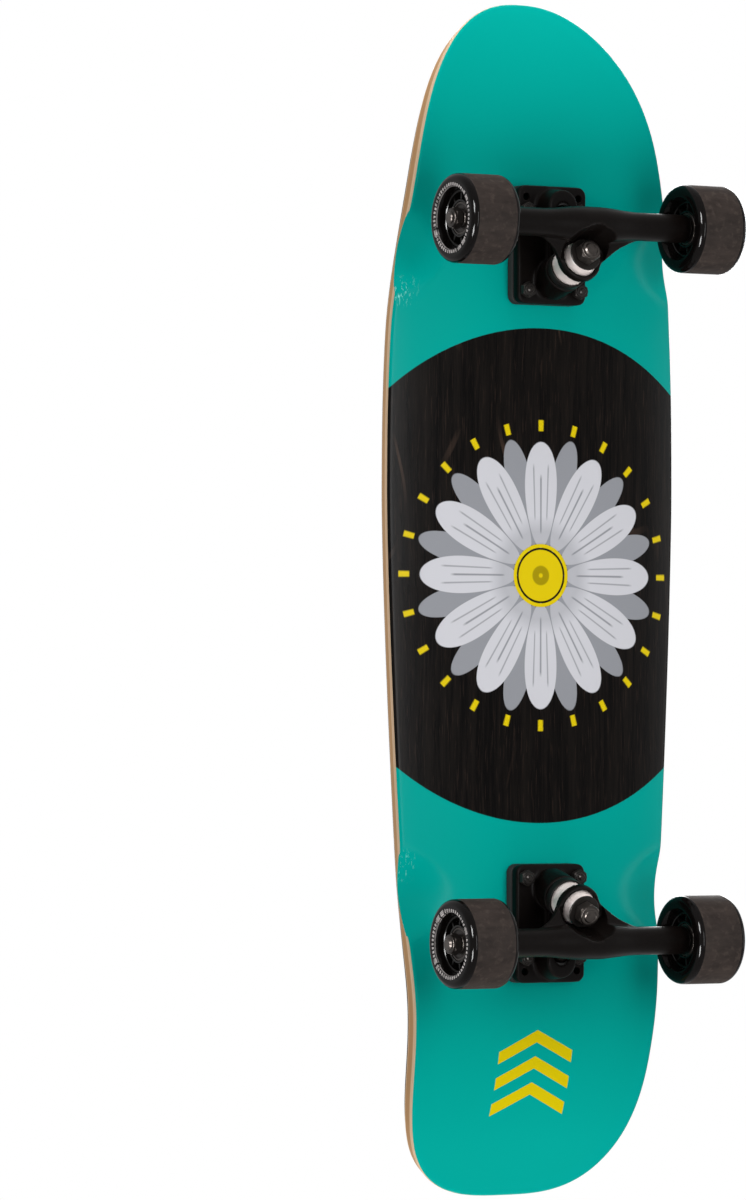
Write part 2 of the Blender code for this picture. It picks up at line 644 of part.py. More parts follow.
def make_truck(end, axle_x, heading, materials):
    paint, steel, black, urethane, rubber, tread, plastic, shield = materials
    around = 0 if heading > 0 else math.pi
    truck = add_empty(f"{end}_truck", (axle_x, 0, 0), (0, 0, around))
    steering = add_empty(f"{end}_steering", (PIVOT[0], 0, PIVOT[1]), parent=truck)
    foot = (KINGPIN_FOOT[0], 0, KINGPIN_FOOT[1])
    kingpin_place = {"parent": truck, "at": foot, "turn": (0, -KINGPIN_TILT, 0)}
    lean = math.pi / 2 - steer_angle()
    pivot_place = {"parent": truck, "at": (PIVOT[0], 0, PIVOT[1]), "turn": (0, lean, 0)}

    riser_name = f"{end}_riser_pad"
    riser_mesh = plate_block(riser_name, RISER_TOP - RISER_THICKNESS, RISER_TOP)
    riser = add_object(riser_name, riser_mesh, rubber, truck)
    boolean(riser, "DIFFERENCE", *pattern_drills(f"{end}_riser_drill", truck))
    make_baseplate(end, truck, kingpin_place, pivot_place, paint)
    make_kingpin_stack(end, kingpin_place, steel, black, urethane)
    cup = [(0, CUP_TOP), (CUP_RADIUS - 1.7 * MM, CUP_TOP), (CUP_RADIUS, CUP_TOP - 1.5 * MM)]
    cup += [(CUP_RADIUS, CUP_LOW), (CUP_BORE + 0.5 * MM, CUP_LOW), (CUP_BORE, CUP_LOW / 2)]
    cup += [(CUP_BORE * math.cos(a), CUP_BORE * math.sin(a)) for a in map(math.radians, (0, 25, 50, 72))]
    cup.append((0, CUP_BORE))
    turned(f"{end}_pivot_cup", cup, 16, False, material=rubber, **pivot_place)
    make_hanger(end, truck, kingpin_place, steering, paint)

    axle_spot = Vector((-PIVOT[0], 0, AXLE_Z - PIVOT[1]))
    across = (math.radians(90), 0, 0)
    axle_mesh = cylinder_mesh(f"{end}_axle", AXLE_RADIUS, -AXLE_HALF, AXLE_HALF, 16)
    add_object(f"{end}_axle", axle_mesh, steel, steering, axle_spot, across)
    for hand, side in (("left", heading), ("right", -heading)):
        turn = (math.radians(-90 * side), 0, 0)
        nut = {"material": steel, "parent": steering, "at": axle_spot, "turn": turn}
        nut_name = f"{end}_{hand}_axle_nut"
        hex_nut(nut_name, AXLE_NUT_CORNER, AXLE_NUT_HEIGHT, BORE_RADIUS, AXLE_NUT_START, **nut)
        centre = axle_spot + Vector((0, side * WHEEL_Y, 0))
        make_wheel(f"{end}_{hand}", centre, steering, tread, plastic, shield)


def main():
    wood = make_material("maple_and_teal_lacquer", (0.0, 0.38, 0.32), 0.2)
    grit = make_material("grip_grit", (0.03, 0.03, 0.032), 0.95)
    paint = make_material("satin_black_cast", (0.012, 0.011, 0.011), 0.35, 0.6)
    steel = make_material("dark_steel", (0.08, 0.08, 0.08), 0.35, 1)
    black = make_material("black_steel", (0.015, 0.015, 0.015), 0.4, 0.8)
    urethane = make_material("white_urethane", (0.75, 0.7, 0.66), 0.45)
    rubber = make_material("black_rubber", (0.012, 0.012, 0.012), 0.7)
    tread = make_material("black_wheel_urethane", (0.025, 0.02, 0.018), 0.45)
    plastic = make_material("black_core_plastic", (0.01, 0.01, 0.01), 0.25)
    shield = make_material("bearing_shield", (0.03, 0.03, 0.03), 0.35, 0.5)
    make_deck(wood, grit)
    make_bolts(black)
    truck_materials = (paint, steel, black, urethane, rubber, tread, plastic, shield)
    make_truck("front", FRONT_AXLE_X, 1, truck_materials)
    make_truck("rear", REAR_AXLE_X, -1, truck_materials)


main()
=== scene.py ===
"""The longboard dressed: pressed deck, cast trucks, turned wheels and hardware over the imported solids.

Shapes are worked out in millimetres, in the part's own frame: +X is the nose and +Z is up.
"""

import math
from functools import partialmethod

import bmesh
import bpy
import numpy as np
from mathutils import Matrix, Vector


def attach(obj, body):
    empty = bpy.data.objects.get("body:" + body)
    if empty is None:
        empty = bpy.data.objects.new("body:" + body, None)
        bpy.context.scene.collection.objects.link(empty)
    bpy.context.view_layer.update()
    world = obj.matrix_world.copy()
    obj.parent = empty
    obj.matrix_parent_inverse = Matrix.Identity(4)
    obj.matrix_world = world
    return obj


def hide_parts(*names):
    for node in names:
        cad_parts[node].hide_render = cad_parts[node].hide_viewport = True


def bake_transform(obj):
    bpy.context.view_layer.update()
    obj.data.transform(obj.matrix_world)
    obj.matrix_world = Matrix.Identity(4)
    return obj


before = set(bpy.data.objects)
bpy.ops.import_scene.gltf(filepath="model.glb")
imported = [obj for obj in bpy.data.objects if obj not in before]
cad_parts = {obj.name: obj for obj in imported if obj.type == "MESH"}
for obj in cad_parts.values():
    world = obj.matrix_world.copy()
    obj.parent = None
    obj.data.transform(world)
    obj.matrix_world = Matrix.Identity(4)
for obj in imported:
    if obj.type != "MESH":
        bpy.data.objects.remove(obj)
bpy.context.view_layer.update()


def at(x, z, angle, axis):
    """A place in the board's middle plane, with a turn about an axis."""
    return Matrix.Translation((x, 0, z)) @ Matrix.Rotation(angle, 4, axis)


MM = 0.001
TURN = math.tau
ENDS = {"front": (251.7, 1), "rear": (-231.1, -1)}  # axle's place, and which way outboard is

# Deck, as the solid has it
HALF_WIDTH, THICKNESS, TOP = 111.7, 12, 104.7
WIDEST_X = 70
TAIL_TAPER, NOSE_TAPER = (400, 19.3, 1.41), (260, 22.5, 2.7)
NOSE_ROUND, TAIL_ROUND = (282, 404.1, 3.44, 2.37), (307, 404, 2.95, 3.03)
CONCAVE_RISE, CONCAVE_FLAT, CONCAVE_FULL, CONCAVE_END, CONCAVE_LEFT = 12, 10, 180, 290, 0.15
NOSE_BEND, TAIL_BEND = (298, 222, math.radians(30)), (258, 235, math.radians(28))
WELL_X, WELL_RADIUS, WELL_TILT, WELL_DEPTH = (231, -199), 58, math.radians(21), 7
GRIP_LIFT, GRIP_THICKNESS, GRIP_SHARE = 0.3, 0.9, 0.995
RAIL_TOP, RAIL_BOTTOM = 1.6, 2.6  # radii of the rail's two edges
ROUND_X, ROUND_RADIUS = 16.3, 168.7  # the stained round underneath
FLOWER_ON_GRIP, FLOWER_SHRINK, PETALS = (-82, 60), 0.33, 12

# Trucks, in a frame whose +X points outboard from the axle
PATTERN_X, BOLT_LONG, BOLT_WIDE, OLD_BOLT_X = -15, 27, 20.65, 36.5
PATTERNS = [axle_x + heading * PATTERN_X for axle_x, heading in ENDS.values()]
RISER_TOP, PLATE_TOP, PLATE_LOW = 92.4, 85.7, 78.3
PLATE_BOX = (-51.2, 29.4, 27, 6)  # start, end, half width and corner radius
KINGPIN_X, KINGPIN_Z, KINGPIN_TILT = -18, 30, math.radians(20)
PIVOT_X, PIVOT_Z, AXLE_Z = 14.5, 72, 30
RING_MIDDLE = (KINGPIN_X - 15 * math.sin(KINGPIN_TILT), KINGPIN_Z + 15 * math.cos(KINGPIN_TILT))
RING_RADIUS, RING_LOW, RING_HIGH = 15.5, 11.8, 18.2
STEER_LEAN = math.atan2(PIVOT_Z - RING_MIDDLE[1], PIVOT_X - RING_MIDDLE[0])
KINGPIN_PLACE = at(KINGPIN_X, KINGPIN_Z, -KINGPIN_TILT, "Y")
PIVOT_PLACE = at(PIVOT_X, PIVOT_Z, math.pi / 2 - STEER_LEAN, "Y")
AXLE_PLACE = at(0, AXLE_Z, math.pi / 2, "X")
BOLT_HOLE, PIN, PIN_HOLE, HANGER_HALF, TUBE = 2.7, 4.75, 5.05, 76, 9.6
HEX_RADIUS, PITCH = 8.25, 1.06  # the kingpin's head and nut, and the threads of kingpin and axle
AXLE_BORE, CUP_BORE, BUSHING_SEAT = 4.27, 5.85, 12.8  # radii
GAP = 0.3  # left between pieces that are bolted together
SAME_POINT = 0.0005
WHEEL_Y, WHEEL_RADIUS, WHEEL_HALF, BEARING_OUT, SPOKES = 89.1, 30, 19, 8.6, 10

# Light: the world's level, and lamps by place in metres, size, watts and what they reach
AMBIENT = 0.28
LAMPS = (
    ("under_middle", (0.0, 0.025, -0.42), (0.55, 0.2), 1.6, "surface"),
    ("under_side_front", (0.95, -2.1, -0.95), (0.7, 0.7), 9, "surface"),
    ("under_side_rear", (-0.95, -2.1, -0.95), (0.7, 0.7), 9, "surface"),
    ("low_nose", (1.5, 0.0, 0.0), (0.8, 0.4), 16, "surface"),
    ("low_tail", (-1.5, 0.0, 0.0), (0.8, 0.4), 12, "surface"),
    ("above_middle", (0.0, 0.0, 2.6), (2.4, 2.4), 62, "surface"),
    ("above_side", (0.8, 1.6, 2.2), (1.4, 1.4), 45, "all"),
    ("card_side_front", (2.2, -5.0, -2.4), (2.0, 1.7), 1000, "fittings"),
    ("card_side_rear", (-2.2, -5.0, -2.4), (2.0, 1.7), 1000, "fittings"),
    ("card_below", (0.0, -0.1, -2.6), (1.6, 0.4), 33, "shine"),
    ("card_far_side", (0.0, 4.3, -2.2), (3.0, 0.8), 38, "shine"),
)
LAMPS_AIM = (0, 0, 0.09)


# Nodes and the values between them


class Field:
    """A value that changes over a surface or a shape, written with sums and products."""

    def __init__(self, tree, socket):
        self.tree, self.socket = tree, socket

    def maths(self, operation, *others, clamp=False):
        made = add(self.tree, "ShaderNodeMath", operation=operation, use_clamp=clamp)
        for slot, value in zip(made.inputs, (self, *others)):
            feed(slot, value)
        return Field(self.tree, made.outputs[0])

    __add__ = partialmethod(maths, "ADD")
    __sub__ = partialmethod(maths, "SUBTRACT")
    __mul__ = partialmethod(maths, "MULTIPLY")
    __truediv__ = partialmethod(maths, "DIVIDE")
    __abs__ = partialmethod(maths, "ABSOLUTE")
    sine = partialmethod(maths, "SINE")

    def upto(self, edge, soft):
        """1 where the value is below edge, 0 above it, fading over soft."""
        return ((self * -1 + edge) / soft).maths("ADD", 0.5, clamp=True)

    def beyond(self, edge, soft):
        return ((self - edge) / soft).maths("ADD", 0.5, clamp=True)

    def within(self, low, high, soft):
        return self.beyond(low, soft) * self.upto(high, soft)

    def flip(self):
        return self * -1 + 1


def feed(slot, value):
    """Links a Field to a socket, or sets the socket to a plain value."""
    if isinstance(value, Field):
        value.tree.links.new(value.socket, slot)
    else:
        slot.default_value = value


def add(tree, kind, **values):
    """A new node with its settings, in small letters, and its inputs, which start with a capital."""
    made = tree.nodes.new(kind)
    for key, value in values.items():
        if key.islower():
            setattr(made, key, value)
        else:
            feed(made.inputs[key.replace("_", " ")], value)
    return made


def output(tree, kind, which=0, **values):
    """One output of a new node, as a Field."""
    return Field(tree, add(tree, kind, **values).outputs[which])


def linear(steps):
    """A plain colour in the eight-bit steps of a screen, as a shader takes it."""
    shares = [value / 255 for value in steps]
    return (*[c / 12.92 if c <= 0.04045 else ((c + 0.055) / 1.055) ** 2.4 for c in shares], 1)


def mixed(factor, first, second):
    """A colour between two, each a Field or the eight-bit steps of a plain colour."""
    made = add(factor.tree, "ShaderNodeMix", data_type="RGBA")
    for index, value in ((0, factor), (6, first), (7, second)):
        feed(made.inputs[index], linear(value) if isinstance(value, tuple) else value)
    return Field(factor.tree, made.outputs[2])


def noise(where, scale, detail=3.0, rough=0.55, stretch=(1, 1, 1)):
    spot = output(where.tree, "ShaderNodeMapping", Vector=where, Scale=stretch)
    sizes = {"Scale": scale, "Detail": detail, "Roughness": rough}
    return output(where.tree, "ShaderNodeTexNoise", "Fac", Vector=spot, **sizes)


def parts_of(where):
    made = add(where.tree, "ShaderNodeSeparateXYZ", Vector=where)
    return [Field(where.tree, socket) for socket in made.outputs]


def along_and_across(where):
    """Where a point is on the board, in millimetres."""
    x, y, _ = parts_of(where)
    return x / MM, y / MM


def distance(x, y):
    return (x * x + y * y).maths("SQRT")


def kept_value(where, name, which="Fac"):
    """A value that the mesh keeps on its points."""
    return output(where.tree, "ShaderNodeAttribute", which, attribute_name=name)


# Effects that several finishes share: each takes a place and numbers and gives values over the surface


def effect(name, recipe, **numbers):
    tree = bpy.data.node_groups.new(name, "ShaderNodeTree")
    tree.interface.new_socket("Where", in_out="INPUT", socket_type="NodeSocketVector")
    for label, value in numbers.items():
        socket = tree.interface.new_socket(label, in_out="INPUT", socket_type="NodeSocketFloat")
        socket.default_value = value
    entry = tree.nodes.new("NodeGroupInput")
    made = recipe(*[Field(tree, socket) for socket in entry.outputs if socket.name])
    for label in made:
        tree.interface.new_socket(label, in_out="OUTPUT", socket_type="NodeSocketFloat")
    add(tree, "NodeGroupOutput", **made)
    return tree


def use(group, where, **numbers):
    """Places a shared effect in a material and returns its outputs by name."""
    made = add(where.tree, "ShaderNodeGroup", node_tree=group, Where=where, **numbers)
    return {socket.name: Field(where.tree, socket) for socket in made.outputs}


def wood_figure(where, scale):
    """Grain that runs along X: broad streaks, and short dark pores."""
    bend = noise(where, 6, 2, stretch=(0.6, 1, 1))
    x, y, z = parts_of(where)
    swept = output(where.tree, "ShaderNodeCombineXYZ", X=x * 0.045, Y=y + bend * 0.016, Z=z)
    streaks = noise(swept, scale * 260, 5, 0.62)
    fine = noise(swept, scale * 900, 3, 0.6)
    pores = noise(swept, scale * 1500, 1, 0.5).beyond(0.66, 0.08)
    return {"Streaks": streaks * 0.65 + fine * 0.35, "Pores": pores}


def fine_grain(where, scale):
    """A close grain for castings, grit and moulded pieces: a height and a matching tone."""
    small = noise(where, scale, 3, 0.6)
    pits = output(where.tree, "ShaderNodeTexVoronoi", "Distance", Vector=where, Scale=scale * 1.3)
    return {"Height": small * 0.7 + pits * 0.3, "Tone": noise(where, scale * 0.45, 2)}


def handling(where, amount):
    """Faint smudges and wiping that change how a surface shines."""
    broad = noise(where, 22, 3, 0.6)
    wiped = noise(where, 60, 2, 0.5, stretch=(0.3, 1, 1))
    return {"Smudge": (broad * 0.6 + wiped * 0.4 - 0.5) * amount}


def edge_rub(where, amount):
    """Where a convex edge has been rubbed, broken up by noise."""
    sharp = output(where.tree, "ShaderNodeNewGeometry", "Pointiness")
    broken = noise(where, 420, 3, 0.65)
    return {"Mask": (sharp + broken * 0.06).within(0.58, 5, 0.06) * amount}


def petals(radius, angle, shift, middle, half_long, half_wide):
    """A ring of leaf-shaped petals, wider towards their tips."""
    step = math.pi / PETALS
    folded = (angle + shift).maths("WRAP", step, -step)
    along = (radius * folded.maths("COSINE") - middle) / half_long
    across = radius * folded.sine() / half_wide
    across = across / (along * 0.22 + 1)
    return (along * along + across * across).upto(1, 0.05), across, along


def daisy(where):
    """A plain round flower: two rings of petals, a button and thin rays. Its place is in millimetres."""
    x, y, _ = parts_of(where)
    radius, angle = distance(x, y), y.maths("ARCTAN2", x)
    front, across, along = petals(radius, angle, 0, 55, 36, 12.4)
    behind, _, _ = petals(radius, angle, math.pi / PETALS, 58, 37, 9.5)
    vein = abs(across).upto(0.05, 0.05) * along.within(-0.7, 0.35, 0.1)
    side_vein = abs(abs(across) - 0.42).upto(0.04, 0.04) * along.within(-0.45, 0.55, 0.1)
    shade = along.upto(-0.55, 0.3)
    button = radius.upto(17.5, 0.5)
    seeds = (radius / 2.6).sine().beyond(0.55, 0.3) * radius.upto(16, 0.5)
    ring = radius.within(19, 21.5, 0.5)
    rays = abs((angle * PETALS).sine()).upto(0.22, 0.12) * radius.within(98.5, 106, 0.6)
    clear = (button + ring).maths("MINIMUM", 1).flip()
    lines = (vein + side_vein * 0.8 + shade * 0.45).maths("MINIMUM", 1)
    return {
        "White": front * clear * lines.flip(),
        "Grey": (front + behind).maths("MINIMUM", 1) * clear,
        "Yellow": button * (seeds * 0.5).flip() + ring + rays,
    }


WOOD = effect("wood figure", wood_figure, Scale=1.0)
GRAIN = effect("fine grain", fine_grain, Scale=1000.0)
HANDLED = effect("handling", handling, Amount=0.1)
RUBBED = effect("edge rub", edge_rub, Amount=0.5)
DAISY = effect("daisy", daisy)


# Finishes: each recipe takes the place on the object and gives what changes over the surface


def material(name, recipe, roughness, metallic=0.0, specular=0.5, coat_roughness=0.1):
    made = bpy.data.materials.new(name)
    made.use_nodes = True
    shader = made.node_tree.nodes["Principled BSDF"]
    labels = ("Roughness", "Metallic", "Specular IOR Level", "Coat Roughness")
    levels = zip(labels, (roughness, metallic, specular, coat_roughness))
    varied = recipe(output(made.node_tree, "ShaderNodeTexCoord", "Object"))
    for label, value in (*levels, *varied.items()):
        feed(shader.inputs[label.replace("_", " ")], value)
    return made


def surface(colour, height, strength, depth, **more):
    """A colour, a relief with its depth in millimetres, and what else is named by its socket."""
    bump = output(colour.tree, "ShaderNodeBump", Strength=strength, Distance=depth * MM, Height=height)
    return {"Base_Color": colour, "Normal": bump, **more}


def with_flower(under, x, y, colours, worn=1):
    """A flower printed over a colour, with x and y counted from its middle."""
    flower = use(DAISY, output(under.tree, "ShaderNodeCombineXYZ", X=x, Y=y))
    for label, colour in zip(("Grey", "White", "Yellow"), colours):
        under = mixed(flower[label] * worn, under, colour)
    return under


def deck_finish(where):
    """Teal lacquer with a stained round and its flower below, maple plies at the rail with a painted
    highlight on their pale edge bands, bare maple on top.
    """
    x, y = along_and_across(where)
    paint, depth = kept_value(where, "paint"), kept_value(where, "depth")
    figure = use(WOOD, where, Scale=0.8)

    teal = mixed(noise(where, 5, 2), (0, 164, 153), (0, 170, 159))
    from_round = x - ROUND_X
    spread = distance(from_round, y)
    stain = mixed(figure["Streaks"].beyond(0.56, 0.3), (3, 2, 2), (26, 21, 18))
    stain = mixed(figure["Pores"] * 0.4, stain, (50, 38, 32))
    rings = (noise(where, 7, 2, 0.5, stretch=(0.3, 1, 1)) * 95).sine()
    patches = noise(where, 9, 2).beyond(0.58, 0.12)
    stain = mixed(rings.beyond(0.95, 0.06) * patches * 0.5, stain, (84, 66, 56))
    under = mixed(spread.upto(ROUND_RADIUS, 0.5), teal, stain)
    under = with_flower(under, from_round, y, ((150, 152, 158), (211, 211, 217), (228, 202, 14)))

    # three bars with a turned-up middle, on the tail
    bent = x + abs(y) * 0.5 + 320
    bars = (bent / 18.0 * TURN).sine().beyond(0.1, 0.1) * bent.within(-18.5, 36, 0.4)
    under = mixed(bars * abs(y).upto(29, 0.5), under, (222, 200, 10))

    # pale cyan streaks where the right-hand wells run out at the rail: a painted highlight standing for
    # glints on the lacquer's ripples there
    painted_glints = noise(where, 560, 4, 0.7, stretch=(0.4, 1, 1)).beyond(0.6, 0.06)
    painted_glints = painted_glints * (abs(x - 13) - 194).within(-8, 8, 9) * (y * -1).beyond(98, 14)
    under = mixed(painted_glints * 0.8, under, (140, 240, 230))

    glue = abs((depth * 7 * math.pi).sine()).upto(0.16, 0.12)
    # the rail: tan plies between pale bands at its top and bottom edges; the pale bands are partly lighter
    # outer plies and partly a painted highlight where the rounded edges catch light
    tan = mixed(figure["Streaks"], (170, 130, 88), (198, 156, 112))
    cream_ply_and_highlight = mixed(figure["Streaks"], (214, 180, 146), (236, 206, 172))
    edge = mixed((depth.beyond(0.68, 0.12) + depth.upto(0.17, 0.06)).maths("MINIMUM", 1), tan, cream_ply_and_highlight)
    edge = mixed(glue * 0.35, edge, (104, 74, 52))
    colour = mixed(paint.beyond(0.5, 0.08), edge, under)
    smudge = use(HANDLED, where, Amount=0.12)["Smudge"]
    on_round = spread.upto(ROUND_RADIUS, 1)
    height = figure["Streaks"] * on_round * 0.5 + noise(where, 90, 2) * 0.3
    rough = paint.beyond(0.5, 0.2) * -0.28 + 0.46 + smudge
    coat = on_round * paint.beyond(0.5, 0.1) * 0.06
    return surface(colour, height, 0.08, 0.12, Roughness=rough, Coat_Weight=coat)


def grip_finish(where):
    """Black grit in resin, pressed flat round the bolts, with a small printed flower."""
    x, y = along_and_across(where)
    grit = use(GRAIN, where, Scale=1500.0)
    cells = output(where.tree, "ShaderNodeTexVoronoi", "Color", Vector=where, Scale=2400)
    spark = output(where.tree, "ShaderNodeSeparateColor", Color=cells)
    base = mixed(grit["Tone"].beyond(0.5, 0.4), (9, 9, 9), (36, 35, 35))
    base = mixed(spark.beyond(0.86, 0.08) * 0.5, base, (96, 95, 96))
    front, rear = PATTERNS
    along = abs(abs(abs(x - (front + rear) / 2) - (front - rear) / 2) - BOLT_LONG)
    from_bolt = distance(along, abs(abs(y) - BOLT_WIDE))
    base = mixed(from_bolt.upto(6.3, 1.0) * 0.6, base, (96, 95, 95))
    x, y = ((value - middle) / FLOWER_SHRINK for value, middle in zip((x, y), FLOWER_ON_GRIP))
    colours = (128, 130, 134), (206, 208, 212), (206, 184, 20)
    base = with_flower(base, x, y, colours, grit["Tone"].beyond(0.3, 0.2))
    return surface(base, grit["Height"], 0.7, 0.35)


def cast_finish(where):
    """Satin black paint over a cast skin."""
    skin = use(GRAIN, where, Scale=900.0)
    smudge = use(HANDLED, where, Amount=0.14)["Smudge"]
    colour = mixed(skin["Tone"], (6, 4, 3), (14, 10, 9))
    colour = mixed(use(RUBBED, where, Amount=0.35)["Mask"], colour, (52, 46, 44))
    return surface(colour, skin["Height"], 0.25, 0.06, Roughness=smudge + 0.36)


def steel(name, dark, light, roughness, metallic, rub_amount):
    """Plated or blackened steel with lathe marks broken by handling."""

    def recipe(where):
        marks = noise(where, 700, 4, 0.6, stretch=(1, 1, 0.12))
        smudge = use(HANDLED, where, Amount=0.2)["Smudge"]
        colour = mixed(marks, dark, light)
        colour = mixed(use(RUBBED, where, Amount=rub_amount)["Mask"], colour, (96, 90, 86))
        return surface(colour, marks, 0.15, 0.05, Roughness=smudge + roughness)

    return material(name, recipe, roughness, metallic, specular=0.12)


def bushing_finish(where):
    """Off-white urethane, a little clouded."""
    dust = use(GRAIN, where, Scale=500.0)
    colour = mixed(noise(where, 90, 3), (222, 207, 202), (240, 230, 226))
    colour = mixed(dust["Tone"].beyond(0.72, 0.1) * 0.25, colour, (150, 138, 130))
    return surface(colour, dust["Height"], 0.12, 0.05)


def rubber_finish(where):
    """Black moulded rubber with a dusty bloom."""
    skin = use(GRAIN, where, Scale=700.0)
    bloom = use(HANDLED, where, Amount=1.0)["Smudge"].beyond(0.1, 0.6)
    return surface(mixed(bloom * 0.5, (13, 12, 12), (30, 29, 28)), skin["Height"], 0.3, 0.08)


def tyre_finish(where):
    """Black urethane: a ground tread between glossy moulded shoulders, with a printed ring outside."""
    x, y, out = parts_of(kept_value(where, "from_hub", "Vector"))
    radius, angle = distance(x, y), y.maths("ARCTAN2", x)
    skin = use(GRAIN, where, Scale=520.0)
    tread = abs(out).upto(14.6, 0.3) * radius.beyond(28.5, 0.3)
    scuffed = noise(where, 160, 4, 0.65, stretch=(1, 0.35, 1))
    ground = mixed(scuffed.beyond(0.5, 0.5), (34, 28, 26), (58, 50, 46))
    ground = mixed(skin["Tone"].beyond(0.62, 0.15) * 0.35, ground, (78, 68, 62))
    moulded = mixed(skin["Tone"], (9, 7, 7), (16, 13, 12))

    def stretch_of_ring(middle, half):
        return abs((angle - middle).maths("WRAP", math.pi, -math.pi)).upto(half, 0.03)

    # ticks and a line round the face, with three clumps of dots between them
    clumps = stretch_of_ring(-0.93, 0.17) + stretch_of_ring(-2.58, 0.3) + stretch_of_ring(1.95, 0.14)
    ticks = (angle * 52).sine().beyond(-0.1, 0.3) * radius.within(21.5, 23.6, 0.15)
    line = radius.within(20.9, 21.3, 0.1) * clumps.flip()
    dots = (angle * 23).sine().beyond(-0.6, 0.3) * abs((radius * 2.9).sine()).upto(0.9, 0.2)
    dots = dots * radius.within(20.8, 24.2, 0.15) * clumps
    print_mask = (line * 0.5 + ticks * clumps.flip() + dots).maths("MINIMUM", 1)
    print_mask = print_mask * out.beyond(16.5, 0.5) * skin["Tone"].beyond(0.32, 0.3)
    colour = mixed(print_mask * 0.95, mixed(tread, moulded, ground), (214, 207, 205))
    rough = tread * 0.57 + 0.08 + scuffed * tread * 0.15
    return surface(colour, skin["Height"] * (tread * 0.9 + 0.1), 0.45, 0.12, Roughness=rough)


def core_finish(where):
    """Glossy black moulded plastic."""
    skin = use(GRAIN, where, Scale=300.0)
    smudge = use(HANDLED, where, Amount=0.25)["Smudge"]
    colour = mixed(skin["Tone"], (8, 7, 6), (15, 13, 12))
    return surface(colour, skin["Height"], 0.1, 0.05, Roughness=smudge + 0.24)


DARK_STEEL = steel("dark_steel", (20, 18, 17), (42, 38, 36), 0.34, 0.9, 0.5)
BLACK_STEEL = steel("black_steel", (9, 8, 8), (20, 18, 17), 0.4, 0.5, 0.15)
SHIELD = steel("bearing_shield", (24, 21, 20), (44, 40, 38), 0.32, 0.8, 0.4)
DECK = material("teal_lacquer_on_maple", deck_finish, 0.2, 0.0, 0.02, 0.22)
GRIP = material("grip_grit", grip_finish, 0.95, specular=0.12)
CAST = material("satin_black_cast", cast_finish, 0.36, specular=0.06)
URETHANE = material("white_urethane", bushing_finish, 0.38)
RUBBER = material("black_rubber", rubber_finish, 0.65, specular=0.2)
TYRE = material("black_wheel_urethane", tyre_finish, 0.5, specular=0.07)
CORE = material("black_core_plastic", core_finish, 0.22, specular=0.15)


# Making pieces


def placed(name, data):
    """A new object in the scene."""
    made = bpy.data.objects.new(name, data)
    bpy.context.scene.collection.objects.link(made)
    return made


def shown(name, mesh, finish, body, replaced, bend=None):
    """A finished piece of a mesh in millimetres, placed in its mesh, which stands for the named nodes.
    A bend names a second body and a stretch, but only whether one is given is used: such a piece is baked in
    place and not attached to a body."""
    mesh.transform(Matrix.Scale(MM, 4))
    mesh.materials.clear()
    mesh.materials.append(finish)
    mesh.shade_smooth()
    mesh.set_sharp_from_angle(angle=math.radians(32))
    made = placed(name, mesh)
    if bend:
        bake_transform(made)
    else:
        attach(made, body)
    if replaced:
        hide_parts(*replaced)
    return made


def truck_piece(end, name, mesh, finish, node, body="board", place=None, bend=None):
    """A finished piece of the truck at one end of the board, which may stand for a node there."""
    axle_x, heading = ENDS[end]
    if place is not None:
        mesh.transform(place)
    mesh.transform(at(axle_x, 0, 0 if heading > 0 else math.pi, "Z"))
    return shown(f"{end}_{name}", mesh, finish, body, [f"{end}_{node}"] if node else [], bend)


def clean(mesh, place=None):
    """Merges doubles, turns the faces outwards and sets the mesh in its place."""
    bm = bmesh.new()
    bm.from_mesh(mesh)
    bmesh.ops.remove_doubles(bm, verts=bm.verts, dist=SAME_POINT)
    bmesh.ops.dissolve_degenerate(bm, edges=bm.edges, dist=0.0001)
    bmesh.ops.recalc_face_normals(bm, faces=bm.faces)
    return taken(bm, place)


def taken(bm, place=None):
    """The plain mesh of a bmesh, which is then thrown away."""
    mesh = bpy.data.meshes.new("taken")
    bm.to_mesh(mesh)
    bm.free()
    if place is not None:
        mesh.transform(place)
    return mesh


def evaluated(source):
    """The plain mesh of an object with its modifiers, which is then thrown away."""
    bpy.context.view_layer.update()
    graph = bpy.context.evaluated_depsgraph_get()
    mesh = bpy.data.meshes.new_from_object(source.evaluated_get(graph))
    for modifier in list(source.modifiers):
        source.modifiers.remove(modifier)
    bpy.data.objects.remove(source)
    return mesh


def joined(*meshes):
    """One mesh of several, left as separate shells."""
    bm = bmesh.new()
    for mesh in meshes:
        bm.from_mesh(mesh)
    return taken(bm)


def shape_tree(name, recipe, kind, *labels):
    """A node tree that works on a shape, with inputs of one kind, and its inputs' identifiers by name."""
    tree = bpy.data.node_groups.new(name, "GeometryNodeTree")
    kinds = {"Geometry": "Geometry", **dict.fromkeys(labels, kind), "Material": "Material"}
    keys = {}
    for label, ending in kinds.items():
        socket = tree.interface.new_socket(label, in_out="INPUT", socket_type=f"NodeSocket{ending}")
        keys[label] = socket.identifier
    tree.interface.new_socket("Geometry", in_out="OUTPUT", socket_type="NodeSocketGeometry")
    entry = tree.nodes.new("NodeGroupInput")
    *given, finish = [Field(tree, socket) for socket in entry.outputs if socket.name]
    real = output(tree, "GeometryNodeRealizeInstances", Geometry=recipe(tree, *given))
    painted = output(tree, "GeometryNodeSetMaterial", Geometry=real, Material=finish)
    feed(tree.nodes.new("NodeGroupOutput").inputs[0], painted)
    return tree, keys


def shaped(mesh, shape, finish, **sizes):
    """The plain mesh that a shape tree makes of a mesh, with its named inputs set."""
    tree, keys = shape
    source = placed("source", mesh)
    modifier = source.modifiers.new("shape", "NODES")
    modifier.node_group = tree
    for label, value in {**sizes, "Material": finish}.items():
        modifier[keys[label.replace("_", " ")]] = value
    return evaluated(source)


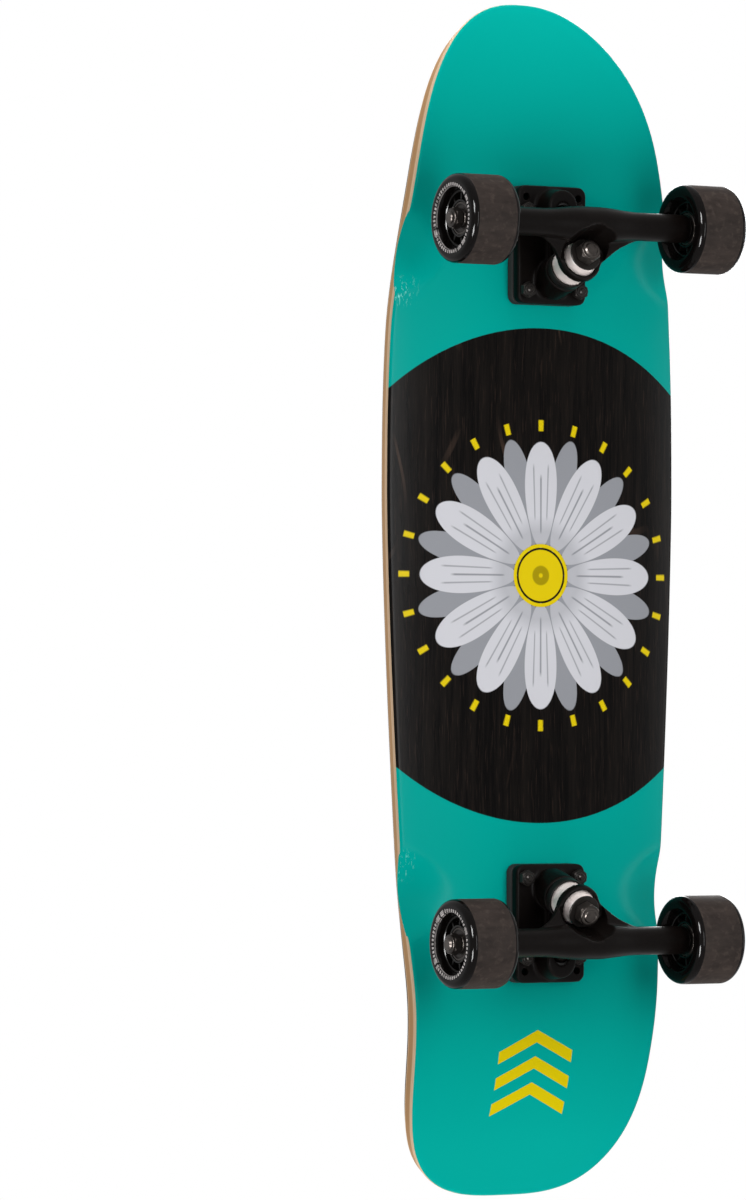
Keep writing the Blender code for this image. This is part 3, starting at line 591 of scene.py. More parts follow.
def turning(tree, profile, segments):
    """Turns an open or closed profile about Z. The profile lies in XY as radius and minus height."""
    path = 50.0
    curve = output(tree, "GeometryNodeMeshToCurve", Mesh=profile)
    moved = output(tree, "GeometryNodeSetPosition", Geometry=curve, Offset=(-path, 0, 0))
    circle = output(tree, "GeometryNodeCurvePrimitiveCircle", Resolution=segments, Radius=path)
    swept = output(tree, "GeometryNodeCurveToMesh", Curve=circle, Profile_Curve=moved)
    return output(tree, "GeometryNodeMergeByDistance", Geometry=swept, Distance=SAME_POINT)


def repeating(tree, shape, count):
    """Repeats a shape about Z, the given number of times."""
    share = output(tree, "GeometryNodeInputIndex").maths("DIVIDE", count)
    spin = output(tree, "ShaderNodeCombineXYZ", Z=share * TURN)
    points = output(tree, "GeometryNodePoints", Count=count)
    return output(tree, "GeometryNodeInstanceOnPoints", Points=points, Instance=shape, Rotation=spin)


def patterning(tree, shape, length, width, front, rear):
    """Repeats a fastener at the four corners of both trucks' bolt patterns."""
    size = {"Vertices_X": 2, "Vertices_Y": 2, "Size_X": length, "Size_Y": width}
    corners = output(tree, "GeometryNodeMeshGrid", **size)
    both = add(tree, "GeometryNodeJoinGeometry")
    for middle in (front, rear):
        shift = output(tree, "ShaderNodeCombineXYZ", X=middle)
        moved = output(tree, "GeometryNodeTransform", Geometry=corners, Translation=shift)
        feed(both.inputs[0], moved)
    points = Field(tree, both.outputs[0])
    return output(tree, "GeometryNodeInstanceOnPoints", Points=points, Instance=shape)


def threading(tree, _, radius, pitch, turns):
    """A ridge that climbs a shaft as a screw thread."""
    climb = {"Rotations": turns, "Start_Radius": radius, "End_Radius": radius, "Height": pitch * turns}
    spiral = output(tree, "GeometryNodeCurveSpiral", Resolution=28, **climb)
    ridge = output(tree, "GeometryNodeCurvePrimitiveCircle", Resolution=4, Radius=pitch * 0.42)
    return output(tree, "GeometryNodeCurveToMesh", Curve=spiral, Profile_Curve=ridge, Fill_Caps=True)


TURNED = shape_tree("turned piece", turning, "Int", "Segments")
AROUND = shape_tree("repeated about the axle", repeating, "Int", "Count")
PATTERN = shape_tree("bolt patterns", patterning, "Float", "Length", "Width", "Front X", "Rear X")
THREAD = shape_tree("screw thread", threading, "Float", "Radius", "Pitch", "Turns")


def arc(centre_r, centre_h, radius, start, stop, steps=6):
    """Profile points on an arc, its angles in degrees from the radius axis."""
    angles = np.radians(np.linspace(start, stop, steps + 1))
    return [(centre_r + radius * math.cos(a), centre_h + radius * math.sin(a)) for a in angles]


def mirrored(profile):
    """The same points under the middle, in the order in which they go on."""
    return [(radius, -height) for radius, height in reversed(profile)]


def turned(profile, finish, segments=64, place=None):
    """A piece turned about Z from (radius, height) points, left open where it starts on the axis."""
    count = len(profile)
    edges = [(i, (i + 1) % count) for i in range(count if profile[0][0] else count - 1)]
    mesh = bpy.data.meshes.new("profile")
    mesh.from_pydata([(radius, -height, 0) for radius, height in profile], edges, [])
    return clean(shaped(mesh, TURNED, finish, Segments=segments), place)


def solid(profile, finish, segments=40, place=None):
    """A piece turned without a hole, its two ends flat."""
    return turned([(0, profile[0][1]), *profile, (0, profile[-1][1])], finish, segments, place)


def ring(outer, inner, low, high, finish, chamfer=0.25, segments=64, place=None):
    """A turned ring whose four edges are eased."""
    c = chamfer
    profile = [(outer - c, high), (outer, high - c), (outer, low + c), (outer - c, low)]
    profile += [(inner + c, low), (inner, low + c), (inner, high - c), (inner + c, high)]
    return turned(profile, finish, segments, place)


def prism(points, low, high, bevel=0.0, place=None):
    """A flat outline made solid along Z, its rims eased."""
    bm = bmesh.new()
    base = bm.faces.new([bm.verts.new((x, y, low)) for x, y in points])
    grown = bmesh.ops.extrude_face_region(bm, geom=[base])
    tops = [g for g in grown["geom"] if isinstance(g, bmesh.types.BMVert)]
    bmesh.ops.translate(bm, verts=tops, vec=(0, 0, high - low))
    bmesh.ops.recalc_face_normals(bm, faces=bm.faces)
    if bevel:
        rims = [e for e in bm.edges if abs(e.verts[0].co.z - e.verts[1].co.z) < 0.001]
        bmesh.ops.bevel(bm, geom=rims, offset=bevel, segments=2, affect="EDGES", profile=0.5)
    return taken(bm, place)


def rounded_box(start, end, half, corner, steps=6):
    """A rectangle from start to end along X whose corners are arcs, as x and y."""
    back, ahead, side = start + corner, end - corner, half - corner
    points = []
    for i, (x, y) in enumerate(((ahead, side), (back, side), (back, -side), (ahead, -side))):
        points += arc(x, y, corner, 90 * i, 90 * i + 90, steps)
    return points


def blob(*balls):
    """The skin stretched over balls, each given as its centre and radius."""
    bm = bmesh.new()
    for centre, radius in balls:
        ball = bmesh.ops.create_uvsphere(bm, u_segments=32, v_segments=16, radius=radius)
        bmesh.ops.translate(bm, verts=ball["verts"], vec=centre)
    bmesh.ops.delete(bm, geom=list(bm.faces), context="FACES_ONLY")
    bmesh.ops.convex_hull(bm, input=bm.verts)
    bmesh.ops.delete(bm, geom=[v for v in bm.verts if not v.link_faces], context="VERTS")
    bmesh.ops.recalc_face_normals(bm, faces=bm.faces)
    return taken(bm)


def carved(mesh, *steps):
    """A mesh worked on in steps: each an operation with a mesh, or MELT with a grid and its smoothings."""
    made = placed("carved", mesh)
    tools = []
    for operation, detail in steps:
        if operation == "MELT":
            remesh = made.modifiers.new("melt", "REMESH")
            smooth = made.modifiers.new("soften", "SMOOTH")
            remesh.mode, smooth.factor = "VOXEL", 0.5
            remesh.voxel_size, smooth.iterations = detail
        else:
            tools.append(placed("tool", detail))
            boolean = made.modifiers.new("cut", "BOOLEAN")
            boolean.operation, boolean.solver, boolean.object = operation, "EXACT", tools[-1]
    result = evaluated(made)
    for tool in tools:
        bpy.data.objects.remove(tool)
    return result


def cast(shapes, cutters, last_cutters, grid):
    """Shapes melted into one casting: joined, cut, and softened so that every edge has a fillet."""
    cuts, last_cuts = ([("DIFFERENCE", mesh) for mesh in meshes] for meshes in (cutters, last_cutters))
    return carved(joined(*shapes), ("MELT", (grid, 6)), *cuts, ("MELT", (grid, 3)), *last_cuts)


def hexagon(corner):
    return [(corner * math.cos(TURN * i / 6), corner * math.sin(TURN * i / 6)) for i in range(6)]


def nut(corner, low, high, hole, collar, finish, segments=40):
    """A six-sided nut with rounded-off corners, an eased hole and a locking collar."""
    flat, widest = corner * 0.9, corner + 0.1
    drop = (corner - flat) * 0.62
    lens = [(flat, high), (widest, high - drop), (widest, low + drop), (flat, low)]
    drill = [(hole + 0.9, high + 1), (hole + 0.5, high), (hole, high - 0.5)]
    drill += [(hole, low + 0.5), (hole + 0.5, low), (hole + 0.9, low - 1)]
    body = carved(
        prism(hexagon(corner), low, high),
        ("INTERSECT", solid(lens, finish, 48)),
        ("DIFFERENCE", solid(drill, finish, 32)),
    )
    return joined(body, turned(collar, finish, segments))


def thread(radius, low, high, pitch, finish):
    """Thread ridges from low to high on a shaft of that radius."""
    sizes = {"Radius": radius - pitch * 0.3, "Pitch": pitch, "Turns": (high - low) / pitch}
    made = shaped(bpy.data.meshes.new("start"), THREAD, finish, **sizes)
    made.transform(Matrix.Translation((0, 0, low)))
    return made


def on_patterns(mesh, finish):
    """A fastener, or the tool for its hole, at all eight places in the deck."""
    size = {"Length": 2 * BOLT_LONG, "Width": 2 * BOLT_WIDE}
    return shaped(mesh, PATTERN, finish, Front_X=PATTERNS[0], Rear_X=PATTERNS[1], **size)


# The deck and its grip


def smooth_step(value):
    value = np.clip(value, 0, 1)
    return value * value * (3 - 2 * value)


def half_width(x):
    run, drop, power = (np.where(x > WIDEST_X, *pair) for pair in zip(NOSE_TAPER, TAIL_TAPER))
    side = HALF_WIDTH - drop * (np.abs(x - WIDEST_X) / run) ** power
    for reach, (start, tip, inner, outer) in ((x, NOSE_ROUND), (-x, TAIL_ROUND)):
        share = np.clip((reach - start) / (tip - start), 0, 1)
        side = side * np.maximum(1 - share**inner, 0) ** (1 / outer)
    return side


def bend_rise(run, radius, steepest):
    arc_run = radius * math.sin(steepest)
    bent = np.clip(run, 0, arc_run)
    return radius - np.sqrt(radius**2 - bent**2) + np.maximum(run - arc_run, 0) * math.tan(steepest)


def top_height(x, y):
    fade = smooth_step((np.abs(x) - CONCAVE_FULL) / (CONCAVE_END - CONCAVE_FULL))
    side = np.maximum(np.abs(y) - CONCAVE_FLAT, 0) / (HALF_WIDTH - CONCAVE_FLAT)
    kick = bend_rise(x - NOSE_BEND[0], *NOSE_BEND[1:]) + bend_rise(-x - TAIL_BEND[0], *TAIL_BEND[1:])
    return TOP + CONCAVE_RISE * (1 - (1 - CONCAVE_LEFT) * fade) * side * side + kick


def top_normal(x, y):
    step = 0.05
    slope_x = (top_height(x + step, y) - top_height(x - step, y)) / (2 * step)
    slope_y = (top_height(x, y + step) - top_height(x, y - step)) / (2 * step)
    normal = np.stack([-slope_x, -slope_y, np.ones_like(x)], -1)
    return normal / np.linalg.norm(normal, axis=-1, keepdims=True)


def rim_and_spine(steps, share=1.0):
    """Points all round the deck's edge, nose tip first, and where each one's row starts on the spine."""
    middle, reach = (NOSE_ROUND[1] - TAIL_ROUND[1]) / 2, (NOSE_ROUND[1] + TAIL_ROUND[1]) / 2
    fine_x = middle + reach * np.cos(np.linspace(0, math.pi, 6000))
    fine_y = half_width(fine_x)
    walked = np.concatenate([[0], np.cumsum(np.hypot(np.diff(fine_x), np.diff(fine_y)))])
    stops = np.linspace(0, walked[-1], steps + 1)
    side = np.stack([np.interp(stops, walked, fine_x), np.interp(stops, walked, fine_y)], 1)
    side[[0, -1], 1] = 0
    side = (side - (middle, 0)) * share + (middle, 0)
    rim = np.concatenate([side, side[-2:0:-1] * (1, -1)])
    nose, tail = rim[:, 0].max() - 0.85 * HALF_WIDTH, rim[:, 0].min() + 0.65 * HALF_WIDTH
    spine = np.stack([np.clip(rim[:, 0], tail, nose), np.zeros(len(rim))], 1)
    return rim, spine


def pressed_sheet(rim, spine, columns, lift=0.0):
    """Rows from rim to spine. A column is a share of the row, an inset at the rim and a depth."""
    share, inset, depth = (np.array(column, float)[None] for column in zip(*columns))
    row = rim - spine
    length = np.linalg.norm(row, axis=1, keepdims=True)
    unit = row / length
    back = inset + share * (length - inset)
    x, y = (rim[:, i : i + 1] - unit[:, i : i + 1] * back for i in (0, 1))
    base = np.stack([x, y, top_height(x, y) + lift], -1)
    return base - top_normal(x, y) * depth[..., None]


def sheet_mesh(grid, **values):
    """A closed mesh over a grid of rows that runs all the way round, with values kept on its points."""
    rows, columns = grid.shape[:2]
    index = np.arange(rows * columns).reshape(rows, columns)
    after = np.roll(index, -1, axis=0)
    faces = np.stack([index[:, :-1], index[:, 1:], after[:, 1:], after[:, :-1]], -1).reshape(-1, 4)
    mesh = bpy.data.meshes.new("sheet")
    mesh.from_pydata(grid.reshape(-1, 3).tolist(), [], faces.tolist())
    for label, array in values.items():
        layer = mesh.attributes.new(label, "FLOAT", "POINT")
        layer.data.foreach_set("value", np.ascontiguousarray(array, np.float32).reshape(-1))
    return clean(mesh)


def well_height(x, y):
    """How high the four wheel wells reach under the deck."""
    best = np.full_like(x, -1000.0)
    for well_x in WELL_X:
        rail = half_width(np.float64(well_x))
        floor = top_height(np.float64(well_x), rail) - THICKNESS + WELL_DEPTH
        room = WELL_RADIUS**2 - (x - well_x) ** 2
        arch = (np.sqrt(np.maximum(room, 0)) - WELL_RADIUS) / math.cos(WELL_TILT)
        height = floor + arch + (np.abs(y) - rail) * math.tan(WELL_TILT)
        best = np.where(room > 0, np.maximum(best, height), best)
    return best


def drilled(name, mesh, drill, segments, finish, node):
    """A sheet of the deck with its eight bolt holes."""
    drills = on_patterns(solid(drill, finish, segments), finish)
    return shown(name, carved(mesh, ("DIFFERENCE", drills)), finish, "board", [node])


def make_deck():
    """The pressed board, with its painted underside and its plies marked for the finish."""
    rim, spine = rim_and_spine(330)
    columns = [(1 - j / 7, RAIL_TOP, 0) for j in range(8)]
    rail = arc(RAIL_TOP, RAIL_TOP, RAIL_TOP, 270, 180, 5)
    rail += [(0, depth) for depth in np.linspace(RAIL_TOP + 0.8, THICKNESS - RAIL_BOTTOM - 0.6, 7)]
    rail += arc(RAIL_BOTTOM, THICKNESS - RAIL_BOTTOM, RAIL_BOTTOM, 180, 90, 7)
    columns += [(0, inset, depth) for inset, depth in rail[1:]]
    last_rail = len(columns) - 1
    columns += [((j / 44) ** 1.1, RAIL_BOTTOM, THICKNESS) for j in range(1, 45)]
    grid = pressed_sheet(rim, spine, columns)
    depth = np.broadcast_to([column[2] for column in columns], grid.shape[:2])
    softness = 1.5
    wells = well_height(grid[..., 0], grid[..., 1])
    well_at_rail = (wells - grid[..., 2])[:, last_rail : last_rail + 1]
    scooped = np.logaddexp(grid[..., 2] / softness, wells / softness) * softness
    grid[..., 2] = np.where(depth > 0, scooped, grid[..., 2])
    bare = THICKNESS - 0.9 - np.maximum(well_at_rail, 0)
    paint = np.clip((depth - bare) / 0.5 + 0.5, 0, 1)
    board = sheet_mesh(grid, paint=paint, depth=depth / THICKNESS)
    drill = [(5.0, TOP + 3), (5.0, TOP + 0.6), (BOLT_HOLE, TOP - 1.9), (BOLT_HOLE, 85)]
    return drilled("deck_board", board, drill, 32, DECK, "deck")


def make_grip():
    rim, spine = rim_and_spine(220, GRIP_SHARE)
    eased = 0.25
    columns = [(1 - j / 18, eased, -GRIP_THICKNESS) for j in range(19)]
    columns += [(0, 0, eased - GRIP_THICKNESS), (0, 0, 0), (0.5, 0, 0), (1, 0, 0)]
    sheet = sheet_mesh(pressed_sheet(rim, spine, columns, GRIP_LIFT))
    drill = [(5.2, TOP + 5), (5.2, TOP + 1.3), (5.0, TOP + 1), (5.0, TOP - 3)]
    drilled("grip_sheet", sheet, drill, 40, GRIP, "grip_tape")


def make_mounting_hardware():
    """Countersunk bolts with a hexagon socket, and lock nuts under the baseplates."""
    head, tip, shank, core = TOP + GRIP_THICKNESS, 70.7, 2.4, 2.2
    profile = [(shank, head), (4.3, head), (4.75, head), (4.95, head - 0.25), (shank, head - 2.75)]
    profile += [(shank, 86), (core, 85.5), (core, tip + 0.6), (core - 0.5, tip)]
    socket = prism(hexagon(1.85), head - 1.9, head + 1)
    bolt = carved(solid(profile, BLACK_STEEL), ("DIFFERENCE", socket))
    bolt = joined(bolt, thread(2.45, tip + 0.6, 78, 0.8, BLACK_STEEL))
    high = PLATE_LOW - GAP
    collar = [(2.5, high - 4.5), (4.3, high - 4.4), *arc(3.9, high - 5.4, 0.4, 0, -90, 4), (2.5, high - 5.8)]
    lock = nut(5.5, high - 4.4, high, 2.5, collar, BLACK_STEEL, 32)
    for kind, mesh in (("bolt", bolt), ("nut", lock)):
        nodes = [f"{end}_mounting_{kind}_{i}" for end in ENDS for i in range(1, 5)]
        shown(f"mounting_{kind}s", on_patterns(mesh, BLACK_STEEL), BLACK_STEEL, "board", nodes)


# Trucks


def pattern_pegs(low):
    """Cutters for a truck's six mounting holes, from that height up."""
    peg = [(BOLT_HOLE, 95), (BOLT_HOLE, low)]
    pegs = []
    for x in (PATTERN_X - BOLT_LONG, PATTERN_X + BOLT_LONG, PATTERN_X + OLD_BOLT_X):
        for side in (1, -1):
            pegs.append(solid(peg, CAST, 24, Matrix.Translation((x, side * BOLT_WIDE, 0))))
    return joined(*pegs)


def baseplate_casting():
    """Plate, kingpin boss, pivot tower and the rib between them, in one casting."""
    boss = [(13.2, 54), (14.1, 35.0)]
    tower = [(13.8, 84), (12.3, 74), (11.2, 63.5)]
    shapes = [
        prism(rounded_box(*PLATE_BOX), PLATE_LOW, PLATE_TOP),
        solid(boss, CAST, 64, KINGPIN_PLACE),
        solid(tower, CAST, 64, Matrix.Translation((PIVOT_X, 0, 0))),
        prism(rounded_box(-26, PIVOT_X, 4.2, 1), 74.6, 84),
    ]
    head_pocket = solid([(8.9, 90), (8.9, 48.7)], CAST, 48, KINGPIN_PLACE)
    pivot_socket = solid([(8, 7), (8, -30)], CAST, 48, PIVOT_PLACE)
    all_above = prism(rounded_box(-90, 70, 60, 2), PLATE_TOP, 140)
    kingpin_hole = solid([(PIN_HOLE, 90), (PIN_HOLE, 20)], CAST, 40, KINGPIN_PLACE)
    return cast(shapes, [head_pocket, pivot_socket], [all_above, kingpin_hole, pattern_pegs(60)], 0.8)


def yoke_outline():
    """The flared web from the axle tube to the ring, its ring at -X."""
    reach = math.hypot(RING_MIDDLE[0], RING_MIDDLE[1] - AXLE_Z)
    along = np.linspace(4, reach + 4, 40)
    flare = 30.5 * np.maximum(1 - (along - 4) / (reach - 4), 0) ** 2.1
    side = np.stack([along, 19.5 + flare - 4.5 * smooth_step((along - reach + 7) / 11)], 1)
    turn = np.radians(np.linspace(73, -73, 33))
    tip = np.stack([reach + RING_RADIUS * np.cos(turn), RING_RADIUS * np.sin(turn)], 1)
    root = np.array([(-2, 50)])
    outline = np.concatenate([root, side, tip, side[::-1] * (1, -1), root * (1, -1)])
    return (outline * (-1, 1)).tolist()


def hanger_casting():
    """Axle tube, yoke, bushing ring and pivot nose in one casting, bored for the axle."""
    end = [(TUBE - 0.8, HANGER_HALF), (TUBE, HANGER_HALF - 0.8)]
    heights = np.linspace(40, -40, 41).tolist()
    swollen = [(TUBE + 2.4 * float(smooth_step((38 - abs(height)) / 32)), height) for height in heights]
    ring_body = [(RING_RADIUS, RING_HIGH), (RING_RADIUS, RING_LOW)]
    slope = math.atan2(RING_MIDDLE[1] - AXLE_Z, -RING_MIDDLE[0])
    lean = at(0, AXLE_Z, slope, "Y")
    neck_at = (PIVOT_X - 14 * math.cos(STEER_LEAN), 0, PIVOT_Z - 14 * math.sin(STEER_LEAN))
    pivot = (PIVOT_X, 0, PIVOT_Z)
    shapes = [
        solid(end + swollen + mirrored(end), CAST, 72, AXLE_PLACE),
        prism(yoke_outline(), -4.5, 4.5, place=lean),
        solid(ring_body, CAST, 72, KINGPIN_PLACE),
        blob((neck_at, 8.2), ((-2, 0, 40), 9), ((-13, 0, 52), 7)),
        blob((neck_at, 8.2), (pivot, 4.6)),
        blob((pivot, 5.6)),
    ]
    turn = np.radians(np.arange(0, 360, 5))
    reach = np.where(np.cos(turn) > 0, 8.4, 15.8)
    scoop = np.stack([3 + reach * np.cos(turn), 18 * np.sin(turn)], 1).tolist()
    scoop = prism(scoop, -40, 11.3, 0.8, KINGPIN_PLACE)
    cleared = RING_RADIUS + 0.1
    behind = solid([(32, 30), (32, 14.6), (cleared, 14.6), (cleared, RING_HIGH)], CAST, 64)
    behind = carved(behind, ("INTERSECT", prism(rounded_box(-40, 2, 40, 1), 10, 35)))
    behind.transform(KINGPIN_PLACE)
    seat = BUSHING_SEAT
    seats = [(cleared, 60), (cleared, 27), (seat, 27), (seat, 17.6), (6.8, 17.6), (6.8, 15.8), (seat, 15.8)]
    seats = solid([*seats, (seat, -30)], CAST, 72, KINGPIN_PLACE)
    bore = solid([(AXLE_BORE, 90), (AXLE_BORE, -90)], CAST, 32, AXLE_PLACE)
    return cast(shapes, [scoop, behind, seats], [bore], 0.75)


def make_kingpin_stack(end):
    """The kingpin and everything threaded on it."""
    shaft = [(3.9, -3.5), (4.5, -2.9), (4.5, 8), (PIN, 8.6), (PIN, 49.5)]
    head = prism(hexagon(HEX_RADIUS), 49, 55, 0.5)
    pin = joined(solid(shaft, DARK_STEEL), head, thread(PIN, -2.9, 7.4, PITCH, DARK_STEEL))
    collar = [(4.8, -1.3), (7.1, -1.2), *arc(6.4, -2.1, 0.6, 0, -90, 4), (4.8, -2.7)]
    outside, inside = 13.9, BUSHING_SEAT
    cup = [(PIN_HOLE, 33.3), (inside - 0.8, 33.3), *arc(inside - 0.8, 32.5, 0.8, 90, 0, 4), (inside, 28.7)]
    cup += [(inside + 0.2, 28.5), (outside - 0.2, 28.5), (outside, 28.7)]
    cup += [*arc(outside - 1.5, 33.2, 1.5, 0, 90, 6), (PIN_HOLE, 34.7)]
    for name, mesh, finish in (
        ("kingpin", pin, DARK_STEEL),
        ("kingpin_nut", nut(HEX_RADIUS, -1.2, 5.2, PIN, collar, DARK_STEEL), DARK_STEEL),
        ("roadside_washer", ring(11.2, PIN_HOLE, 5.5, 6.8, BLACK_STEEL), BLACK_STEEL),
        ("boardside_washer", turned(cup, BLACK_STEEL, 72), BLACK_STEEL),
    ):
        truck_piece(end, f"{name}_dressed", mesh, finish, name, place=KINGPIN_PLACE)
    for kind, held, leaned, taper in (("roadside", 7.1, 15.5, 1.5), ("boardside", 33, 17.9, 0)):
        name, mesh = f"{kind}_bushing", bushing(*sorted((held, leaned)), taper)
        bend = (f"{end}_hanger", on_kingpin(end, held), on_kingpin(end, leaned))
        truck_piece(end, f"{name}_dressed", mesh, URETHANE, name, "board", KINGPIN_PLACE, bend)


def on_kingpin(end, height):
    """A point on the kingpin's axis, in metres."""
    axle_x, heading = ENDS[end]
    x, y, z = KINGPIN_PLACE @ Vector((0, 0, height))
    return Vector((axle_x + heading * x, heading * y, z)) * MM


def bushing(low, high, taper):
    """A moulded bushing, narrower by the taper at its low end, its rims rounded and its sides drawn in."""
    share = np.linspace(0, 1, 9)
    radii = 12.5 - 0.2 * np.sin(math.pi * share) - taper * share
    sides = list(zip(radii.tolist(), (high - 1 - (high - low - 2) * share).tolist()))
    profile = [(PIN_HOLE, high), (11.5, high), *arc(11.5, high - 1, 1, 75, 15, 3), *sides]
    profile += [*arc(11.5 - taper, low + 1, 1, -15, -75, 3), (11.5 - taper, low), (PIN_HOLE, low)]
    for step in range(1, 8):
        profile.append((PIN_HOLE + 1.3 * math.sin(math.pi * step / 8), low + (high - low) * step / 8))
    return turned(profile, URETHANE, 72)


def make_board_side(end, plate):
    """Everything of a truck that is bolted to the deck. It returns the baseplate."""
    baseplate = truck_piece(end, "baseplate_casting", plate.copy(), CAST, "baseplate")
    pad = prism(rounded_box(*PLATE_BOX), PLATE_TOP + GAP, RISER_TOP, 0.5)
    pad = carved(pad, ("DIFFERENCE", pattern_pegs(80)))
    truck_piece(end, "riser", pad, RUBBER, "riser_pad")
    cup = [(0, 6.9), (6, 6.9), (7.7, 5.4), (7.7, -3.6), (7.4, -4), (6.7, -4), (6.3, -3.7), (CUP_BORE, -2)]
    cup = turned([*cup, *arc(0, 0, CUP_BORE, 0, 80, 8), (0, CUP_BORE)], RUBBER, 48, PIVOT_PLACE)
    truck_piece(end, "pivot_bed", cup, RUBBER, "pivot_cup")
    make_kingpin_stack(end)
    return baseplate


def make_hanger_side(end, casting):
    """The hanger with its axle, washers and nuts. It returns the hanger's casting."""
    body = f"{end}_hanger"
    hanger = truck_piece(end, "hanger_casting", casting.copy(), CAST, "hanger", body)
    rod = [(3.3, 110.2), (3.8, 109.6), (3.8, 101), (3.97, 100.6)]
    tips = [thread(4.0, low, low + 8, PITCH, DARK_STEEL) for low in (101.4, -109.4)]
    rod = joined(solid(rod + mirrored(rod), DARK_STEEL), *tips)
    truck_piece(end, "axle_rod", rod, DARK_STEEL, "axle", body, AXLE_PLACE)
    washers = []
    for side in (1, -1):
        for low in (76.05, 101.25):
            washers.append(ring(5.7, 4.15, low, low + 0.9, BLACK_STEEL, 0.15, 40, side_place(side)))
    truck_piece(end, "speed_washers", joined(*washers), BLACK_STEEL, None, body)
    collar = [(4.0, 107.0), (6.5, 107.1), *arc(5.8, 108.3, 0.6, 0, 90, 5), (4.6, 109), (4.0, 108.6)]
    for hand, side in hands(end):
        name, lock = f"{hand}_axle_nut", nut(7.33, 102.5, 107.1, 4.0, collar, DARK_STEEL)
        truck_piece(end, f"{name}_dressed", lock, DARK_STEEL, name, body, side_place(side))
    return hanger


def hands(end):
    """The board's left and right, with the side of the truck that each is on."""
    heading = ENDS[end][1]
    return (("left", heading), ("right", -heading))


def side_place(side):
    """Turns a piece drawn along Z out along one end of the axle."""
    return at(0, AXLE_Z, -side * math.pi / 2, "X")


# Wheels, drawn about Z with their outer face up


def tyre_mesh():
    """The tyre, which keeps on its points where they are from the hub."""
    half, lip = WHEEL_HALF, 4.5
    upper = [(19.4, half - 4.2), *arc(22.0, half - 0.6, 0.6, 150, 90, 4)]
    upper += arc(WHEEL_RADIUS - lip, half - lip, lip, 90, 0, 12)
    mesh = turned(upper + mirrored(upper), TYRE, 112)
    layer = mesh.attributes.new("from_hub", "FLOAT_VECTOR", "POINT")
    places = np.zeros(len(mesh.vertices) * 3, np.float32)
    mesh.vertices.foreach_get("co", places)
    layer.data.foreach_set("vector", places)
    return mesh


def core_mesh():
    """Rim, hub and web, with spokes between rim and hub on both sides."""
    upper = [(18.8, 13), (17.9, 13), (17.5, 12.6), (17.2, 5.6), (16.4, 4.6), (13.8, 4.6), (13.0, 5.4)]
    upper += [(12.8, 12.2), (12.5, 12.6), (11.6, 12.6), (11.3, 12.3), (11.3, 4.8), (8.8, 4.8)]
    upper = [(19.1, 12.7), *upper][::-1]
    shell = turned(upper[-1:] + mirrored(upper) + upper[:-1], CORE, 80)
    spoke = prism(rounded_box(12.6, 17.6, 1.1, 0.4, 2), 4.2, 11.6, 0.5)
    lower = spoke.copy()
    lower.transform(Matrix.Rotation(math.pi, 4, "X"))
    return joined(shell, clean(shaped(joined(spoke, lower), AROUND, CORE, Count=SPOKES)))


def bearing_mesh(middle):
    """Races with a shield let in on both sides."""
    upper = [(11, 3.3), (10.8, 3.5), (9.9, 3.5), (9.7, 3.3), (9.6, 2.95), (9.2, 3.1), (7.0, 3.1)]
    upper += [(6.7, 2.8), (6.4, 2.8), (6.2, 3.3), (6.0, 3.5), (4.5, 3.5), (AXLE_BORE, 3.3)]
    return turned(upper + mirrored(upper), SHIELD, 64, Matrix.Translation((0, 0, middle)))


def make_wheels():
    parts = (
        ("tyre", tyre_mesh(), TYRE),
        ("core", core_mesh(), CORE),
        ("inner_bearing", bearing_mesh(-BEARING_OUT), SHIELD),
        ("outer_bearing", bearing_mesh(BEARING_OUT), SHIELD),
    )
    for end in ENDS:
        for hand, side in hands(end):
            place = side_place(side) @ Matrix.Translation((0, 0, WHEEL_Y))
            for label, mesh, finish in parts:
                node, body = f"{hand}_{label}", f"{end}_{hand}_wheel"
                truck_piece(end, f"{node}_dressed", mesh.copy(), finish, node, body, place)


# The stage


def paper(where):
    """Pale paper that glows a little."""
    tone = mixed(noise(where, 3, 2), (212, 212, 210), (219, 219, 218))
    return {"Base Color": tone, "Emission Color": tone, "Emission Strength": 0.35}


def floor_finish():
    """The paper, seen only from above."""
    made = material("pale_floor", paper, 0.85, specular=0.2)
    tree = made.node_tree
    below = output(tree, "ShaderNodeNewGeometry", "Backfacing")
    above = Field(tree, tree.nodes["Principled BSDF"].outputs[0])
    pick = add(tree, "ShaderNodeMixShader")
    for slot, value in zip(pick.inputs, (below, above, output(tree, "ShaderNodeBsdfTransparent"))):
        feed(slot, value)
    feed(tree.nodes["Material Output"].inputs["Surface"], Field(tree, pick.outputs[0]))
    return made


def make_floor():
    mesh = bpy.data.meshes.new("floor")
    size = 4.0
    corners = [(-size, -size, 0), (size, -size, 0), (size, size, 0), (-size, size, 0)]
    mesh.from_pydata(corners, [], [(0, 1, 2, 3)])
    mesh.materials.append(floor_finish())
    floor = placed("floor", mesh)
    floor.location.z = -0.0002
    for ray in ("diffuse", "glossy", "transmission", "shadow"):
        setattr(floor, f"visible_{ray}", False)


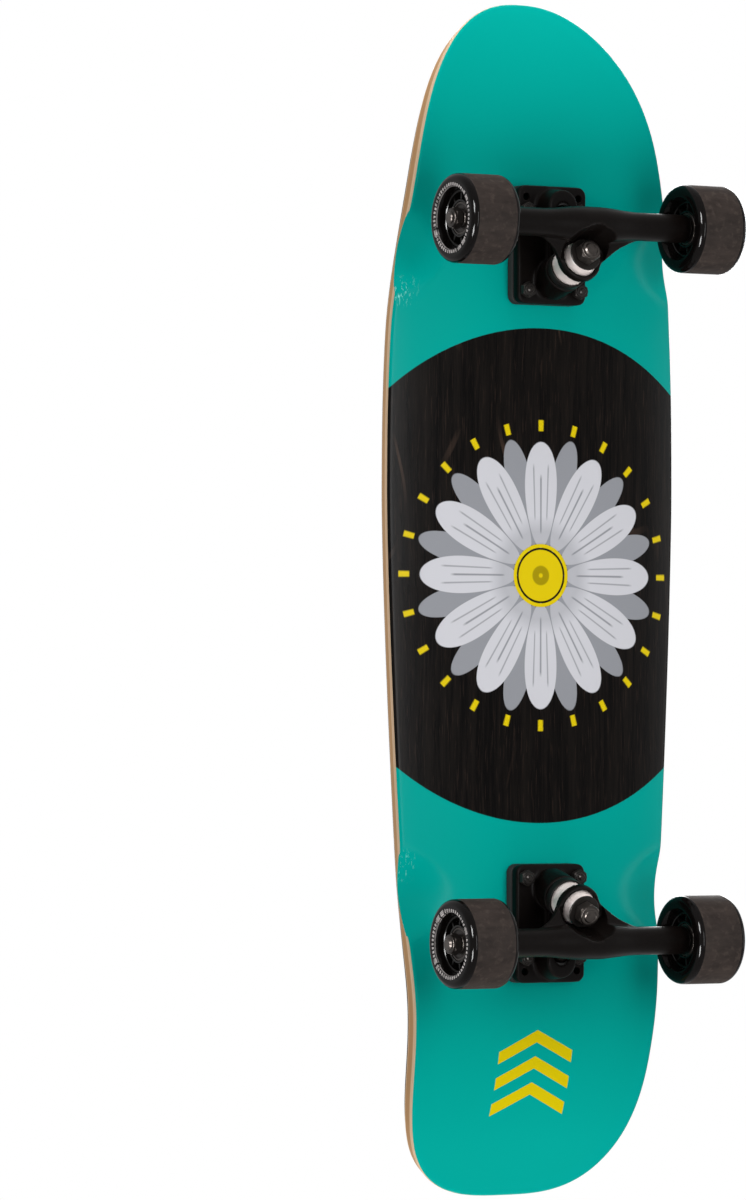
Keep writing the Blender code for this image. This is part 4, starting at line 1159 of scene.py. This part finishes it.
def make_lamp(name, place, size, power, reach, left_out):
    """A soft lamp. It lights everything, or surfaces alone, or shows only in reflections: in all of them,
    or in the fittings'."""
    data = bpy.data.lights.new(name, "AREA")
    data.shape, data.size, data.size_y = "RECTANGLE", *size
    data.energy = power
    lamp = placed(name, data)
    lamp.location = place
    aim = Vector(LAMPS_AIM) - Vector(place)
    lamp.rotation_euler = aim.to_track_quat("-Z", "Y").to_euler()
    lamp.visible_camera = False
    lamp.visible_diffuse, lamp.visible_glossy = reach in ("all", "surface"), reach != "surface"
    if reach == "fittings":
        lamp.light_linking.receiver_collection = left_out


def make_light(spared):
    """The world and the lamps. The spared pieces would glare in the side cards, so these leave them out."""
    world = bpy.data.worlds.new("studio")
    bpy.context.scene.world = world
    world.use_nodes = True
    ray = add(world.node_tree, "ShaderNodeLightPath")
    rays = ("Camera", "Glossy", "Transmission")
    camera, glossy, through = (Field(world.node_tree, ray.outputs[f"Is {kind} Ray"]) for kind in rays)
    seen = camera.maths("MAXIMUM", glossy).maths("MAXIMUM", through)
    background = world.node_tree.nodes["Background"].inputs
    feed(background["Color"], (1, 1, 1, 1))
    feed(background["Strength"], seen * (1 - AMBIENT) + AMBIENT)
    left_out = bpy.data.collections.new("left_out_by_the_side_cards")
    for piece in spared:
        left_out.objects.link(piece)
    for member in left_out.collection_objects:
        member.light_linking.link_state = "EXCLUDE"
    for lamp in LAMPS:
        make_lamp(*lamp, left_out)


def make_camera():
    """Under the board and off its right side, nose up in the picture, as the photograph has it."""
    data = bpy.data.cameras.new("camera")
    data.sensor_fit, data.sensor_height, data.lens = "VERTICAL", 36, 186.76
    data.clip_start, data.clip_end = 0.1, 50
    place = Vector((-80.8, -2200.2, -3536.9)) * MM
    target = Vector((-1.65, -124.7, 104.8)) * MM
    ahead = (target - place).normalized()
    right = ahead.cross(Vector((1, 0, 0))).normalized()
    up = right.cross(ahead)
    roll = math.radians(0.145)
    right, up = right * math.cos(roll) + up * math.sin(roll), up * math.cos(roll) - right * math.sin(roll)
    camera = placed("camera", data)
    camera.matrix_world = Matrix.Translation(place) @ Matrix((right, up, -ahead)).transposed().to_4x4()
    bpy.context.scene.camera = camera


def main():
    spared = [make_deck()]
    make_grip()
    make_mounting_hardware()
    plate, casting = baseplate_casting(), hanger_casting()
    for end in ENDS:
        spared += [make_board_side(end, plate), make_hanger_side(end, casting)]
    make_wheels()
    make_floor()
    make_light(spared)
    make_camera()
    bpy.context.scene.view_settings.view_transform = "Standard"


main()
